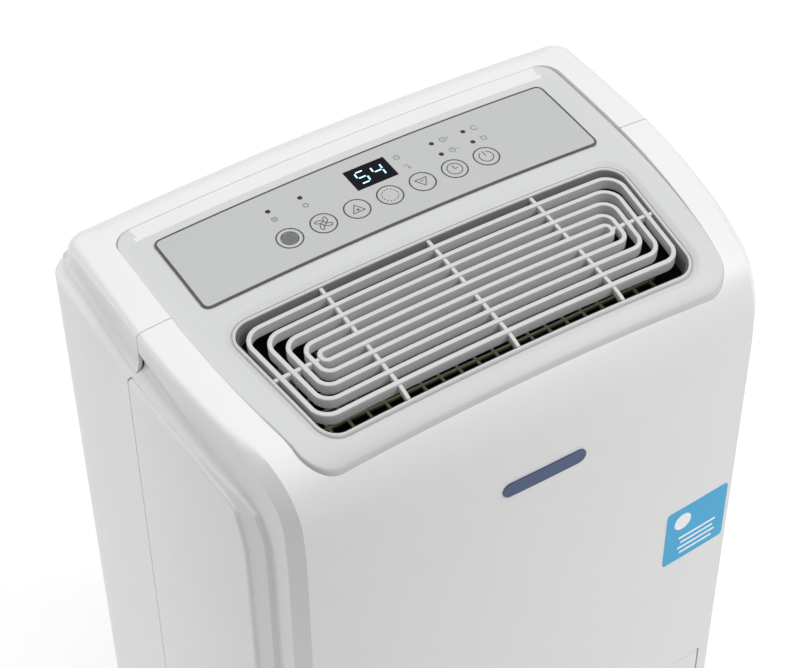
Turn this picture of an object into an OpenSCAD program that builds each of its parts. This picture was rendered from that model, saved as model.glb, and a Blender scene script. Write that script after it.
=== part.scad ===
// Portable room dehumidifier with a top air outlet, a pull-out water bucket and four casters.
// Millimetres. +X is the machine's right seen from the front, the front faces -Y, +Z is up.
// The origin is on the floor, under the middle of the box that the whole machine fills.

/* [Body] */
// Width over the two side cheeks
body_w = 390; // [330:1:470]
// Depth from the front face to the parting line of the two covers
front_d = 150; // [140:1:190]
// Depth from the parting line to the rear wall
rear_d = 104; // [100:1:140]
// Height of the top above the floor
body_h = 612; // [560:1:740]
// Height of the covers' lower edge above the floor
skirt_z = 30; // [26:1:40]
// Wall of the moulded covers
wall = 2.6; // [2:0.1:4]
// Gap between covers and the pieces that fill their openings
seam_gap = 0.4; // [0.3:0.1:1]

/* [Shape of the covers] */
// How far each cheek stands out past the raised middle band at the parting line
cheek_out = 11; // [6:1:18]
// How far the cheeks lie below the band
ledge_drop = 24; // [14:1:34]
// Radius of the bend from the top into the front face
brow_r = 52; // [40:1:70]
// Radius of the upright rear corners
rear_corner_r = 20; // [10:1:28]
// Radius of the cheeks' front corners
cheek_corner_r = 30; // [16:1:36]
// Radius in plan of the sides where the band narrows to the front
taper_r = 650; // [450:10:900]
// Width of the flat on each front corner of the band, along each axis
band_flat = 8; // [4:1:12]
// How far the front face bulges at its middle
front_bow = 6; // [2:1:10]

/* [Top panel and controls] */
// Half width of the top panel at the parting line
panel_hw = 161; // [150:1:168]
// Depth of the top panel behind the parting line
panel_back = 78; // [70:1:84]
// Depth of the top panel in front of the parting line
panel_front = 131; // [124:1:134]
// How far the panel lies below the covers
panel_sink = 2.4; // [1.6:0.1:4]
// Thickness of the panel
panel_t = 2.5; // [2:0.1:3.5]
// Half width of the keypad membrane
pad_hw = 141; // [120:1:148]
// Depth of the keypad membrane
pad_d = 66; // [58:1:70]
// Radius of one key
key_r = 9.3; // [7:0.1:10]
// Spacing of the keys
key_pitch = 23.6; // [21:0.1:25]
// Travel of a key
key_travel = 0.5; // [0.3:0.1:0.8]

/* [Air outlet] */
// Half width of the outlet at its back edge
outlet_hw = 141; // [125:1:146]
// Depth of the outlet from front to back
outlet_d = 96; // [80:1:100]
// Blades of the grille in each half
ring_count = 5; // [3:1:5]
// Thickness of a grille blade
blade_t = 2.6; // [2:0.1:3.2]
// Height of a grille blade
blade_h = 10; // [7:1:13]

/* [Water bucket] */
// Width of the bucket's front
bucket_w = 300; // [250:1:304]
// Height of the bucket's front
bucket_h = 190; // [160:1:190]
// Depth of the tank behind the bucket's front
tank_d = 112; // [90:1:112]
// Wall of the tank
tank_wall = 2.2; // [1.8:0.1:3]

/* [Air intake] */
// Width of the intake grille
intake_w = 280; // [240:1:300]
// Height of the intake grille
intake_h = 310; // [260:1:312]
// How far the intake grille stands out from the rear wall
intake_out = 16; // [14:1:22]
// Louvres in the intake grille
louvre_count = 20; // [12:1:26]

/* [Fan and cooling circuit] */
// Radius of the blower wheel
wheel_r = 78; // [60:1:80]
// Blades of the blower wheel
wheel_blades = 28; // [16:1:36]
// Radius of the compressor
compressor_r = 54; // [44:1:56]
// Height of the compressor's shell
compressor_h = 165; // [130:1:170]
// Half width of both coils
coil_hw = 128; // [110:1:130]
// Tube passes in each coil
coil_passes = 10; // [6:1:12]

/* [Casters and ports] */
// Radius of a caster wheel
caster_r = 14; // [12:0.5:15]
// Offset of the wheel from the swivel axis
caster_trail = 9; // [6:1:12]
// Radius of a swivel stem
stem_r = 4; // [3:0.1:5]
// Radial running clearance of stems, axles and shafts
run_gap = 0.05; // [0.02:0.01:0.1]
// Outer radius of the drain spigot
drain_r = 9; // [8:0.1:11]
// Length of the drain spigot outside the wall
drain_len = 14; // [10:1:15]
// Radius of the hole for the supply cord
cord_r = 3.6; // [3:0.1:4.5]

/* [Hidden] */
$fn = 64;
eps = 0.01;
big = 1200;

white = "#eeeeee"; light_grey = "#d8d8d8"; mid_grey = "#c4c4c6"; dark = "#2a2c2e";
black = "#151515"; metal = "#b9bdc2"; copper = "#b87347"; clear_blue = "#9fb4c4";

// covers: the machine's box is centred on the origin
total_d = front_d + rear_d + intake_out;
front_y = -total_d / 2;
seam_y = front_y + front_d;
rear_y = seam_y + rear_d;
band_hw = body_w / 2 - cheek_out;
cheek_hw = body_w / 2;
taper_y = seam_y + 10;
cheek_front_y = front_y + front_bow + band_flat + 15;

// side outline of the band: a long shallow arc, the brow, and a slow arc into the upright front
rear_edge_r = 18;
slope_back = 1;
slope_brow = 8.5;
slope_face = 84;
face_r = 350;
deck_y = rear_y - rear_edge_r;
deck_run = deck_y - front_y - brow_r * (sin(slope_face) - sin(slope_brow)) - face_r * (1 - sin(slope_face));
deck_r = deck_run / (sin(slope_brow) - sin(slope_back));
deck_c = [deck_y + deck_r * sin(slope_back), body_h - deck_r * cos(slope_back)];
brow_at = [deck_c[0] - deck_r * sin(slope_brow), deck_c[1] + deck_r * cos(slope_brow)];
brow_c = brow_at + brow_r * [sin(slope_brow), -cos(slope_brow)];
face_at = brow_c + brow_r * [-sin(slope_face), cos(slope_face)];
face_c = face_at + face_r * [sin(slope_face), -cos(slope_face)];

function arc_points(c, r, from, to, n) =
    [for (i = [0:n]) let (a = from + (to - from) * i / n) c + r * [-sin(a), cos(a)]];
function deck_slope(y) = asin((deck_c[0] - y) / deck_r);
function deck_z(y, inset = 0) = deck_c[1] + sqrt(pow(deck_r - inset, 2) - pow(y - deck_c[0], 2));
function side_x(y, hw) = y > taper_y ? hw : hw - taper_r + sqrt(pow(taper_r, 2) - pow(taper_y - y, 2));
function both_sides(pts) =
    concat(pts, [for (i = [len(pts) - 1:-1:0]) [-pts[i][0], pts[i][1]]]);

// top panel, keypad and display
pad_back_y = seam_y + 61;
pad_y = pad_back_y - pad_d / 2;
pad_t = 1.2;
pad_r = 5;
panel_r = 20;
key_y = seam_y + 18.1;
led_y = [seam_y + 44.8, seam_y + 33.5];
led_r = 1.5;
led_gap = 0.4;
led_at = [[-3, 0], [-2, 0], [2, 0], [2, 1], [3, 0], [3, 1]];
display_y = seam_y + 40.6;
display_size = [29.4, 18.8];
key_gap = 0.35;
key_h = 2.4;
board_t = 1.6;
board_drop = 12;
board_size = [190, 52];

// air outlet
outlet_y = seam_y - 67;
outlet_r = 14;
ring_pitch = (outlet_d / 2 - 5) / ring_count;
ring_side_pitch = 7.5;
end_rib = 36;
ring_first = 5;
guard_z = body_h - 68;
guard_pitch = 13;
guard_bar = 1.8;
rib_x = [-75, 0, 75];
rib_t = 2;
grille_sink = 3.2;

// water bucket and its bay
bucket_z = skirt_z + 15;
bucket_gap = 0.8;
bucket_top = bucket_z + bucket_h;
tank_y = front_y + front_bow + wall + 1.5;
tank_w = bucket_w - 16;
tank_h = bucket_h - 22;
tank_z = bucket_z + 2;
tank_back = tank_y + tank_d;
lid_t = 2.4;
bucket_front_t = 3.6;
handle_r = 3;
handle_y = tank_y + 60;
handle_z = tank_z + tank_h - 9;
handle_arm = 30;
bar_t = 5;
pin_len = 5;
lid_z = tank_z + tank_h + 0.1;
float_size = [34, 30, 16];
float_x = -92;
float_y = tank_y + 36;
float_pin_z = lid_z + lid_t + 4;
float_pin_r = 1.5;
float_drop = 24;
bearing_x = float_size[0] / 2 + 5;
pour_at = 60;
pour_size = [44, 26];
grip_w = 110;
grip_h = 20;
grip_z = bucket_top - 34;
pocket_d = 17;
pocket_wall = 2;
window_at = [bucket_w / 2 - 28, bucket_z + 85];
window_size = [12, 110];
plunger_r = 2.5;
switch_at = [100, bucket_z + 100];

// front trims
badge_z = body_h - 100;
badge_size = [60, 11];
badge_t = 0.8;
label_at = [130, body_h - 231];
label_size = [52, 51];
label_t = 0.3;

// deck over the bucket bay and the compressor
base_t = 3;
base_z = skirt_z + 4;
deck_t = 2.5;
floor2_z = bucket_top + 9;
bay_wall_y = tank_back + 6;
bay_wall_hw = band_hw - wall - 2;

// fan
housing_back = -1;
housing_front = front_y + 30;
scroll_r = 98;
fan_z = floor2_z + deck_t + scroll_r + 0.2;
duct_wall = 2.4;
inlet_r = 62;
shaft_r = 4;
motor_t = 20;
wheel_y0 = housing_front + 36;
wheel_y1 = housing_back - 9;

// coils, tray and intake
coil_z = floor2_z + 16;
coil_h = 260;
coil_t = 22;
condenser_y = 50;
evaporator_y = condenser_y + coil_t + 6;
coil_tube_r = 4;
pipe_r = 3.2;
elbow_r = 4;
pipe_x = coil_hw + 30;
function pipe_y(k) = condenser_y + coil_t / 2 + k * (evaporator_y - condenser_y);
tray_y = condenser_y - 4;
tray_d = evaporator_y + coil_t + 4 - tray_y;
hose_r = 5;
hose_y = tray_y + 12;
intake_z = floor2_z + 12;
filter_t = 5;
filter_gap = 0.5;
filter_w = intake_w - 14;

// electrics
box_size = [38, 60, 120];
box_x = band_hw - 62;
box_y = housing_front + 34;
capacitor_at = [60, rear_y - 40];

// ports
drain_at = [-122, skirt_z + 110];
gland_wall = 2.8;
cord_at = [120, skirt_z + 80];
compressor_at = [-50, rear_y - wall - compressor_r - 6];
caster_x = cheek_hw - 52;
caster_y = [front_y + 52, rear_y - 46];
axle_r = 2;
caster_top = skirt_z + 1;
stem_len = 12;
wheel_w = 11;
mount_h = 12;
screw_r = 1.8;
screw_at = [for (x = [-cheek_hw + 30, cheek_hw - 30], z = [skirt_z + 22, body_h - 70]) [x, z]];
duct_hw = outlet_hw - 4;
guard_y0 = housing_front + duct_wall + 0.5;
guard_y1 = housing_back - duct_wall - 0.5;

// ---------- outlines ----------

// side outline in Y and Z, drawn inside the outer surface by inset, its lower edge at z0
module side_outline(inset, z0) {
    polygon(concat(
        [[rear_y - inset, z0]],
        arc_points([deck_y, body_h - rear_edge_r], rear_edge_r - min(inset, rear_edge_r - 1), -90, 0, 8),
        arc_points(deck_c, deck_r - inset, slope_back + 0.9, slope_brow, 7),
        arc_points(brow_c, brow_r - inset, slope_brow + 4, slope_face, 14),
        arc_points(face_c, face_r - inset, slope_face + 2, 90, 3),
        [[front_y + inset, z0]]));
}

module side_solid(inset, z0) {
    rotate([90, 0, 90]) translate([0, 0, -big / 2]) linear_extrude(big) side_outline(inset, z0);
}

module band_plan(inset) {
    hw = band_hw - inset;
    flat_y = front_y + front_bow + band_flat + inset;
    edge_x = side_x(flat_y, hw);
    nose_x = edge_x - band_flat;
    r = rear_corner_r - inset;
    polygon(both_sides(concat(
        [[0, rear_y - inset]],
        [for (a = [0:15:90]) [hw - r + r * sin(a), rear_y - inset - r + r * cos(a)]],
        [for (i = [0:8]) let (y = taper_y + (flat_y - taper_y) * i / 8) [side_x(y, hw), y]],
        [for (i = [0:8]) let (x = nose_x * (1 - i / 8))
            [x, front_y + inset + front_bow * pow(x / nose_x, 2)]])));
}

module cheek_plan(inset) {
    hw = cheek_hw - inset;
    r = rear_corner_r + 2 - inset;
    fr = cheek_corner_r - inset;
    polygon(both_sides(concat(
        [[0, rear_y - inset]],
        [for (a = [0:15:90]) [hw - r + r * sin(a), rear_y - inset - r + r * cos(a)]],
        [for (a = [0:10:90]) [hw - fr + fr * cos(a), cheek_front_y + cheek_corner_r - fr * sin(a)]],
        [[0, cheek_front_y + inset]])));
}

module cover() {
    difference() {
        body_cheeks(0, skirt_z);
        body_cheeks(wall, 0);
    }
}

// the band and both cheeks; the cheeks follow the band's side outline, lowered
module body_cheeks(inset, z0) {
    band_body(inset, z0);
    intersection() {
        translate([0, 0, -ledge_drop]) side_solid(inset, 0);
        translate([0, 0, z0]) linear_extrude(big) cheek_plan(inset);
    }
}

module band_body(inset, z0) {
    intersection() {
        side_solid(inset, z0);
        linear_extrude(big) band_plan(inset);
    }
}

// plan outline of the top panel, drawn smaller by inset
module panel_plan(inset) {
    back = seam_y + panel_back - inset;
    front = seam_y - panel_front + inset;
    r = panel_r - inset;
    front_x = side_x(front + r, panel_hw - inset);
    polygon(both_sides(concat(
        [for (a = [0:15:90]) [panel_hw - inset - r + r * sin(a), back - r + r * cos(a)]],
        [for (i = [0:8]) let (y = taper_y + (front + r - taper_y) * i / 8) [side_x(y, panel_hw - inset), y]],
        [for (a = [15:15:90]) [front_x - r + r * cos(a), front + r - r * sin(a)]])));
}

// rounded outline of the outlet, or of a grille ring when drawn smaller
module outlet_plan(side, end) {
    hw = outlet_hw - side;
    hd = outlet_d / 2 - end;
    r = max(2, outlet_r - end * 0.25);
    rc = min(r, hd - 0.1);
    front_hw = hw - outlet_d / 10;
    polygon(both_sides(concat(
        [for (a = [0:15:90]) [hw - rc + rc * sin(a), outlet_y + hd - rc + rc * cos(a)]],
        [for (a = [0:15:90]) [front_hw - rc + rc * cos(a), outlet_y - hd + rc - rc * sin(a)]])));
}

module rounded_plan(w, d, r) {
    x = w / 2 - r;
    y = d / 2 - r;
    polygon(concat(
        [for (a = [0:15:90]) [x + r * cos(a), y + r * sin(a)]],
        [for (a = [90:15:180]) [-x + r * cos(a), y + r * sin(a)]],
        [for (a = [180:15:270]) [-x + r * cos(a), -y + r * sin(a)]],
        [for (a = [270:15:360]) [x + r * cos(a), -y + r * sin(a)]]));
}

// a skin of the top between two depths below the outer surface
module top_skin(from, to) {
    difference() {
        side_solid(from, skirt_z);
        side_solid(to, 0);
    }
}

// puts a piece on the deck at (x, y), its z = 0 at the given depth and its axis square to the deck
module on_deck(x, y, depth) {
    translate([x, y, deck_z(y)]) rotate([deck_slope(y), 0, 0]) translate([0, 0, -depth]) children();
}

// ---------- covers ----------

module front_shell() {
    color(white) difference() {
        intersection() {
            cover();
            translate([-big / 2, seam_y - seam_gap / 2 - big, 0]) cube([big, big, big]);
        }
        translate([0, 0, body_h / 2]) linear_extrude(big) panel_plan(-seam_gap);
        translate([-bucket_w / 2 - bucket_gap, front_y - 1, bucket_z - bucket_gap])
            cube([bucket_w + 2 * bucket_gap, front_bow + 24, bucket_h + 2 * bucket_gap]);
    }
}

module rear_shell() {
    color(white) difference() {
        intersection() {
            cover();
            translate([-big / 2, seam_y + seam_gap / 2, 0]) cube([big, big, big]);
        }
        translate([0, 0, body_h / 2]) linear_extrude(big) panel_plan(-seam_gap);
        translate([-intake_w / 2 + 12, rear_y - wall - 1, intake_z + 12])
            cube([intake_w - 24, wall + 2, intake_h - 24]);
        rear_hole(drain_at, drain_r + 0.2);
        rear_hole(cord_at, cord_r + gland_wall + 0.2);
        for (p = screw_at) rear_hole(p, screw_r + 0.3);
    }
}

module rear_hole(p, r) {
    translate([p[0], rear_y + 1, p[1]]) rotate([90, 0, 0]) cylinder(h = wall + 2, r = r);
}

module base_pan() {
    color(light_grey) difference() {
        union() {
            translate([0, 0, base_z]) linear_extrude(base_t) inside_plan(wall + 0.2);
            for (x = [-caster_x, caster_x], y = caster_y)
                translate([x, y, base_z]) cylinder(h = stem_len, r = stem_r + 4);
        }
        for (x = [-caster_x, caster_x], y = caster_y)
            translate([x, y, base_z - 1]) cylinder(h = stem_len + 2, r = stem_r + run_gap);
    }
}

// the floor inside the covers: cheeks and band together
module inside_plan(inset) {
    band_plan(inset);
    cheek_plan(inset);
}

// upright wall behind the bucket bay and the deck that carries the fan and the coils
module chassis_frame() {
    color(light_grey) {
        difference() {
            translate([-bay_wall_hw, bay_wall_y, base_z + base_t])
                cube([2 * bay_wall_hw, deck_t, floor2_z - base_z - base_t]);
            translate([switch_at[0], bay_wall_y - 1, switch_at[1]]) rotate([-90, 0, 0])
                cylinder(h = deck_t + 2, r = plunger_r + 0.6);
        }
        difference() {
            translate([0, 0, floor2_z]) linear_extrude(deck_t) inside_plan(wall + 1.5);
            translate([drain_at[0], hose_y, floor2_z - 1]) cylinder(h = deck_t + 2, r = hose_r + 1);
            for (k = [0, 1]) translate([pipe_x, pipe_y(k), floor2_z - 1])
                cylinder(h = deck_t + 2, r = pipe_r + 1);
        }
    }
}

// ---------- top panel and controls ----------

module top_panel() {
    color(light_grey) difference() {
        intersection() {
            top_skin(panel_sink, panel_sink + panel_t);
            translate([0, 0, body_h / 2]) linear_extrude(big) panel_plan(seam_gap);
        }
        translate([0, 0, body_h / 2]) linear_extrude(big) outlet_plan(0, 0);
        for (i = [0:6]) on_deck(key_x(i), key_y, 10) cylinder(h = 20, r = key_r + key_gap);
        on_deck(0, display_y, 10) linear_extrude(20) rounded_plan(display_size[0], display_size[1], 1);
        for (p = led_at) on_deck(p[0] * key_pitch, led_y[p[1]], 10) cylinder(h = 20, r = led_r);
    }
}

function key_x(i) = (i - 3) * key_pitch;

module control_membrane() {
    color(mid_grey) difference() {
        intersection() {
            top_skin(panel_sink - pad_t, panel_sink);
            translate([0, pad_y, body_h / 2]) linear_extrude(big) rounded_plan(2 * pad_hw, pad_d, pad_r);
        }
        for (i = [0:6]) on_deck(key_x(i), key_y, 10) cylinder(h = 20, r = key_r + key_gap);
        on_deck(0, display_y, 10) linear_extrude(20) rounded_plan(display_size[0], display_size[1], 1);
        for (p = led_at) on_deck(p[0] * key_pitch, led_y[p[1]], 10) cylinder(h = 20, r = led_r);
    }
}

module display_window() {
    color(black) on_deck(0, display_y, panel_sink + panel_t)
        linear_extrude(panel_t + pad_t) rounded_plan(display_size[0] - 0.2, display_size[1] - 0.2, 1);
}

module indicator_leds() {
    color("#3a3f45") for (p = led_at)
        on_deck(p[0] * key_pitch, led_y[p[1]], board_drop - led_gap)
            cylinder(h = board_drop - led_gap - 1.4, r = led_r - 0.1, $fn = 24);
}

module key(i) {
    color(mid_grey) on_deck(key_x(i), key_y, panel_sink - pad_t + key_h) cylinder(h = key_h, r = key_r);
}

module display_board() {
    color("#1f5a3a") on_deck(0, (key_y + display_y) / 2 + 2, board_drop + board_t)
        translate([-board_size[0] / 2, -board_size[1] / 2, 0])
            cube([board_size[0], board_size[1], board_t]);
}

// seven push switches and the digit display, on the board
module board_components() {
    switch_h = 3.6;
    stub_h = board_drop - panel_sink + pad_t - key_h - switch_h - key_travel - 0.3;
    color(dark) {
        for (i = [0:6]) on_deck(key_x(i), key_y, board_drop - 0.2) {
            translate([-3, -3, 0]) cube([6, 6, switch_h]);
            translate([0, 0, switch_h]) cylinder(h = stub_h, r = 1.7, $fn = 24);
        }
        on_deck(0, display_y, board_drop - 0.2) linear_extrude(board_drop - panel_sink - panel_t - 0.4)
            rounded_plan(display_size[0] - 2, display_size[1] - 2, 0.5);
    }
}

// ---------- air outlet ----------

module grille_ring(side, end, t) {
    difference() {
        outlet_plan(side, end);
        outlet_plan(side + t, end + t);
    }
}

// an upright slab of an outline, tall enough to be cut to the top's curve
module tall() {
    translate([0, 0, body_h - 90]) linear_extrude(100) children();
}

// rim, blade rings and the ribs that tie them; the ribs stop short of the smallest ring's inside
module outlet_grille() {
    rib_len = ring_pitch * ring_count + blade_t / 2 - 1.5;
    color(light_grey) intersection() {
        top_skin(grille_sink, grille_sink + blade_h);
        union() {
            tall() grille_ring(0.3, 0.3, 1.8);
            for (i = [0:ring_count - 1])
                tall() grille_ring(ring_first + i * ring_side_pitch, ring_pitch * (i + 1), blade_t);
            for (x = rib_x, s = [-1, 1])
                tall()
                    translate([x - rib_t / 2, outlet_y + s * (outlet_d / 2 - 1 - rib_len / 2) - rib_len / 2])
                    square([rib_t, rib_len]);
            for (s = [-1, 1])
                tall() translate([s * (outlet_hw - 5 - end_rib / 2) - end_rib / 2, outlet_y - rib_t / 2])
                    square([end_rib, rib_t]);
        }
    }
}

// finger guard of square mesh across the duct, under the grille
module outlet_guard() {
    hw = duct_hw - duct_wall - 0.5;
    columns = floor(hw / guard_pitch);
    color("#8f8a6c") translate([0, 0, guard_z]) linear_extrude(guard_bar) {
        for (i = [-columns:columns]) translate([i * guard_pitch - guard_bar / 2, guard_y0])
            square([guard_bar, guard_y1 - guard_y0]);
        for (y = [guard_y0:guard_pitch:guard_y1 - guard_bar]) translate([-hw, y])
            square([2 * hw, guard_bar]);
    }
}

// ---------- front trims ----------

// a layer of the front face between two depths below its surface
module front_layer(from, to) {
    difference() {
        band_body(from, 0);
        band_body(to, -1);
    }
}

// the part of such a layer that shows through an outline centred at (x, z)
module front_patch(x, z, w, h, r, from, to) {
    intersection() {
        front_layer(from, to);
        translate([x, 0, z]) rotate([90, 0, 0]) linear_extrude(big / 2) rounded_plan(w, h, r);
    }
}

module badge() {
    color("#3b5f8a")
        front_patch(0, badge_z, badge_size[0], badge_size[1], badge_size[1] / 2 - 0.1, -badge_t, 0);
}

module front_label() {
    color("#0aa5d8") front_patch(label_at[0], label_at[1], label_size[0], label_size[1], 1.5, -label_t, 0);
}

// ---------- water bucket ----------

module bucket_front() {
    color(white) difference() {
        intersection() {
            front_layer(0, bucket_front_t);
            translate([-bucket_w / 2, front_y - 1, bucket_z]) cube([bucket_w, front_bow + 24, bucket_h]);
        }
        translate([-grip_w / 2, front_y - 1, grip_z]) cube([grip_w, 30, grip_h]);
        translate([window_at[0] - window_size[0] / 2, front_y - 1, window_at[1] - window_size[1] / 2])
            cube([window_size[0], 30, window_size[1]]);
    }
}

module level_window() {
    color(clear_blue)
        front_patch(window_at[0], window_at[1], window_size[0] - 0.2, window_size[1] - 0.2, 0.5,
        0.6, bucket_front_t);
}

module bucket_tank() {
    color(clear_blue) difference() {
        union() {
            difference() {
                translate([-tank_w / 2, tank_y, tank_z]) cube([tank_w, tank_d, tank_h]);
                translate([-tank_w / 2 + tank_wall, tank_y + tank_wall, tank_z + tank_wall])
                    cube([tank_w - 2 * tank_wall, tank_d - 2 * tank_wall, tank_h]);
            }
            // pocket behind the finger grip
            translate([-grip_w / 2 - pocket_wall, tank_y, grip_z - pocket_wall])
                cube([grip_w + 2 * pocket_wall, pocket_d, grip_h + 2 * pocket_wall]);
        }
        translate([-grip_w / 2, tank_y - 1, grip_z]) cube([grip_w, pocket_d + 1 - pocket_wall, grip_h]);
        for (s = [-1, 1]) translate([s * tank_w / 2, handle_y, handle_z]) rotate([0, 90, 0])
            cylinder(h = 12, r = handle_r + run_gap, center = true);
    }
}

module bucket_lid() {
    color(light_grey) {
        difference() {
            translate([-tank_w / 2, tank_y, lid_z]) cube([tank_w, tank_d, lid_t]);
            translate([-grip_w / 2 - pocket_wall - 0.5, tank_y - 1, lid_z - 1])
                cube([grip_w + 2 * pocket_wall + 1, pocket_d + 1.5, lid_t + 2]);
            translate([pour_at, tank_back - pour_size[1] - 14, lid_z - 1])
                cube([pour_size[0], pour_size[1], lid_t + 2]);
            translate([float_x - float_size[0] / 2 - 3, float_y - 5, lid_z - 1])
                cube([float_size[0] + 6, float_size[1] + 16, lid_t + 2]);
        }
        for (s = [-1, 1]) difference() {
            translate([float_x + s * bearing_x - 1.5, float_y - 4, lid_z + lid_t - eps]) cube([3, 8, 8]);
            translate([float_x, float_y, float_pin_z]) rotate([0, 90, 0])
                cylinder(h = 2 * bearing_x + 10, r = float_pin_r + run_gap, center = true, $fn = 24);
        }
    }
}

// bail handle: lies flat behind its pins at rest and stands up on them
module bucket_handle() {
    arm_x = tank_w / 2 + 3;
    bar_z = lid_z + lid_t + 0.5;
    color(mid_grey) {
        for (s = [-1, 1]) {
            translate([s * (arm_x - 1), handle_y, handle_z]) rotate([0, 90, 0])
                cylinder(h = 2 * pin_len, r = handle_r, center = true, $fn = 32);
            translate([s * (arm_x + 2) - 2, handle_y - 5, handle_z - 5])
                cube([4, 10, bar_z + bar_t - handle_z + 5]);
            translate([s * (arm_x + 2) - 2, handle_y - 5, bar_z]) cube([4, handle_arm, bar_t]);
        }
        translate([-arm_x - 4, handle_y + handle_arm - 13, bar_z]) cube([2 * arm_x + 8, 8, bar_t]);
    }
}

// float: a hollow paddle hanging from a pin across the lid's opening
module bucket_float() {
    color("#e8e4da") {
        translate([float_x, float_y, float_pin_z]) rotate([0, 90, 0])
            cylinder(h = 2 * bearing_x + 4, r = float_pin_r, center = true, $fn = 24);
        translate([float_x - 5, float_y - 1.4, float_pin_z - float_drop]) cube([10, 2.8, float_drop]);
        translate([float_x - float_size[0] / 2, float_y - 2, float_pin_z - float_drop - float_size[2] + 2])
            cube([float_size[0], float_size[1], float_size[2]]);
    }
}

// ---------- bucket-in-place switch ----------

module bucket_switch() {
    color(dark) difference() {
        translate([switch_at[0] - 8, bay_wall_y + deck_t, switch_at[1] - 7]) cube([16, 12, 14]);
        translate([switch_at[0], bay_wall_y + deck_t - 1, switch_at[1]]) rotate([-90, 0, 0])
            cylinder(h = 1 + 10.5, r = plunger_r + run_gap);
    }
}

module switch_plunger() {
    color("#c03028") translate([switch_at[0], tank_back + 0.6, switch_at[1]]) rotate([-90, 0, 0])
        cylinder(h = bay_wall_y + deck_t + 8 - tank_back - 0.6, r = plunger_r);
}

// ---------- air intake ----------

module intake_grille() {
    zs = (intake_h - 30) / louvre_count;
    color(white) {
        difference() {
            translate([-intake_w / 2, rear_y, intake_z]) cube([intake_w, intake_out, intake_h]);
            translate([-intake_w / 2 + wall, rear_y - 1, intake_z + wall])
                cube([intake_w - 2 * wall, intake_out - wall + 1, intake_h - 2 * wall]);
            translate([-intake_w / 2 + 14, rear_y, intake_z + 14])
                cube([intake_w - 28, intake_out + 1, intake_h - 28]);
            translate([-filter_w / 2 - filter_gap, rear_y + filter_gap, intake_z + intake_h - 10])
                cube([filter_w + 2 * filter_gap, filter_t + 2 * filter_gap, 20]);
        }
        for (i = [0:louvre_count - 1])
            translate([-intake_w / 2 + 13, rear_y + intake_out - 6, intake_z + 16 + i * zs])
                rotate([-28, 0, 0]) cube([intake_w - 26, 6, 1.8]);
        for (x = [-intake_w / 6, intake_w / 6]) translate([x - 1.5, rear_y + intake_out - 7, intake_z + 13])
            cube([3, 5, intake_h - 26]);
    }
}

module filter_frame() {
    fh = intake_h - 4;
    color("#8f9498") translate([-filter_w / 2, rear_y + 2 * filter_gap, intake_z + wall + 0.4])
        difference() {
        union() {
            cube([filter_w, filter_t, fh]);
            translate([filter_w / 2 - 22, 0, fh - eps]) cube([44, filter_t - 1, 12]);
        }
        for (i = [0:3], j = [0:3])
            translate([8 + i * (filter_w - 10) / 4, -1, 8 + j * (fh - 10) / 4])
                cube([(filter_w - 10) / 4 - 6, filter_t + 2, (fh - 10) / 4 - 6]);
    }
}

module filter_mesh() {
    fh = intake_h - 4;
    color("#4a4e52") translate([-filter_w / 2, rear_y + 2 * filter_gap, intake_z + wall + 0.4])
        for (i = [0:3], j = [0:3])
            translate([8 + i * (filter_w - 10) / 4, filter_t / 2 - 0.4, 8 + j * (fh - 10) / 4])
                cube([(filter_w - 10) / 4 - 6, 0.8, (fh - 10) / 4 - 6]);
}

// ---------- cooling circuit ----------

// finned block with end plates and the hairpin bends that join its tube passes
module coil(y) {
    pitch = coil_h / coil_passes;
    translate([-coil_hw, y, coil_z]) cube([2 * coil_hw, coil_t, coil_h]);
    for (s = [-1, 1]) translate([s * (coil_hw + 1) - 1, y - 1, coil_z - 1])
        cube([2, coil_t + 2, coil_h + 2]);
    for (s = [-1, 1], i = [0:coil_passes / 2 - 1])
        translate([s * (coil_hw + 2), y + coil_t / 2, coil_z + pitch * (2 * i + 1)])
            rotate([0, s * 90, 0]) rotate([90, 0, 0])
                rotate_extrude(angle = 180, $fn = 32) translate([pitch / 2, 0])
                    circle(r = coil_tube_r, $fn = 16);
}

module evaporator() {
    color(metal) coil(evaporator_y);
}
module condenser() {
    color("#a9adb1") coil(condenser_y);
}

// one pipe from the compressor to each coil: out to the side, up through the deck, and in
module refrigerant_pipes() {
    color(copper) for (k = [0, 1]) {
        y = pipe_y(k);
        z0 = base_z + base_t + compressor_h - 46 + 14 * k;
        z1 = coil_z + coil_h / coil_passes * (k == 0 ? coil_passes - 2 : 2);
        near_y = max(0, abs(y - compressor_at[1]) - pipe_r);
        x0 = compressor_at[0] + sqrt(pow(compressor_r, 2) - pow(near_y, 2)) + 0.2;
        translate([x0, y, z0]) rotate([0, 90, 0]) cylinder(h = pipe_x - x0, r = pipe_r, $fn = 24);
        translate([pipe_x, y, z0]) cylinder(h = z1 - z0, r = pipe_r, $fn = 24);
        translate([coil_hw + 2.2, y, z1]) rotate([0, 90, 0])
            cylinder(h = pipe_x - coil_hw - 2.2, r = pipe_r, $fn = 24);
        for (z = [z0, z1]) translate([pipe_x, y, z]) sphere(r = elbow_r, $fn = 24);
    }
}

module drip_tray() {
    tz = floor2_z + deck_t + 0.2;
    color(dark) difference() {
        translate([-coil_hw - 6, tray_y, tz]) cube([2 * coil_hw + 12, tray_d, coil_z - tz - 1.2]);
        translate([-coil_hw - 4, tray_y + 2, tz + 2]) cube([2 * coil_hw + 8, tray_d - 4, 30]);
        translate([drain_at[0], hose_y, tz - 1]) cylinder(h = 5, r = hose_r - 1.5);
    }
}

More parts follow.
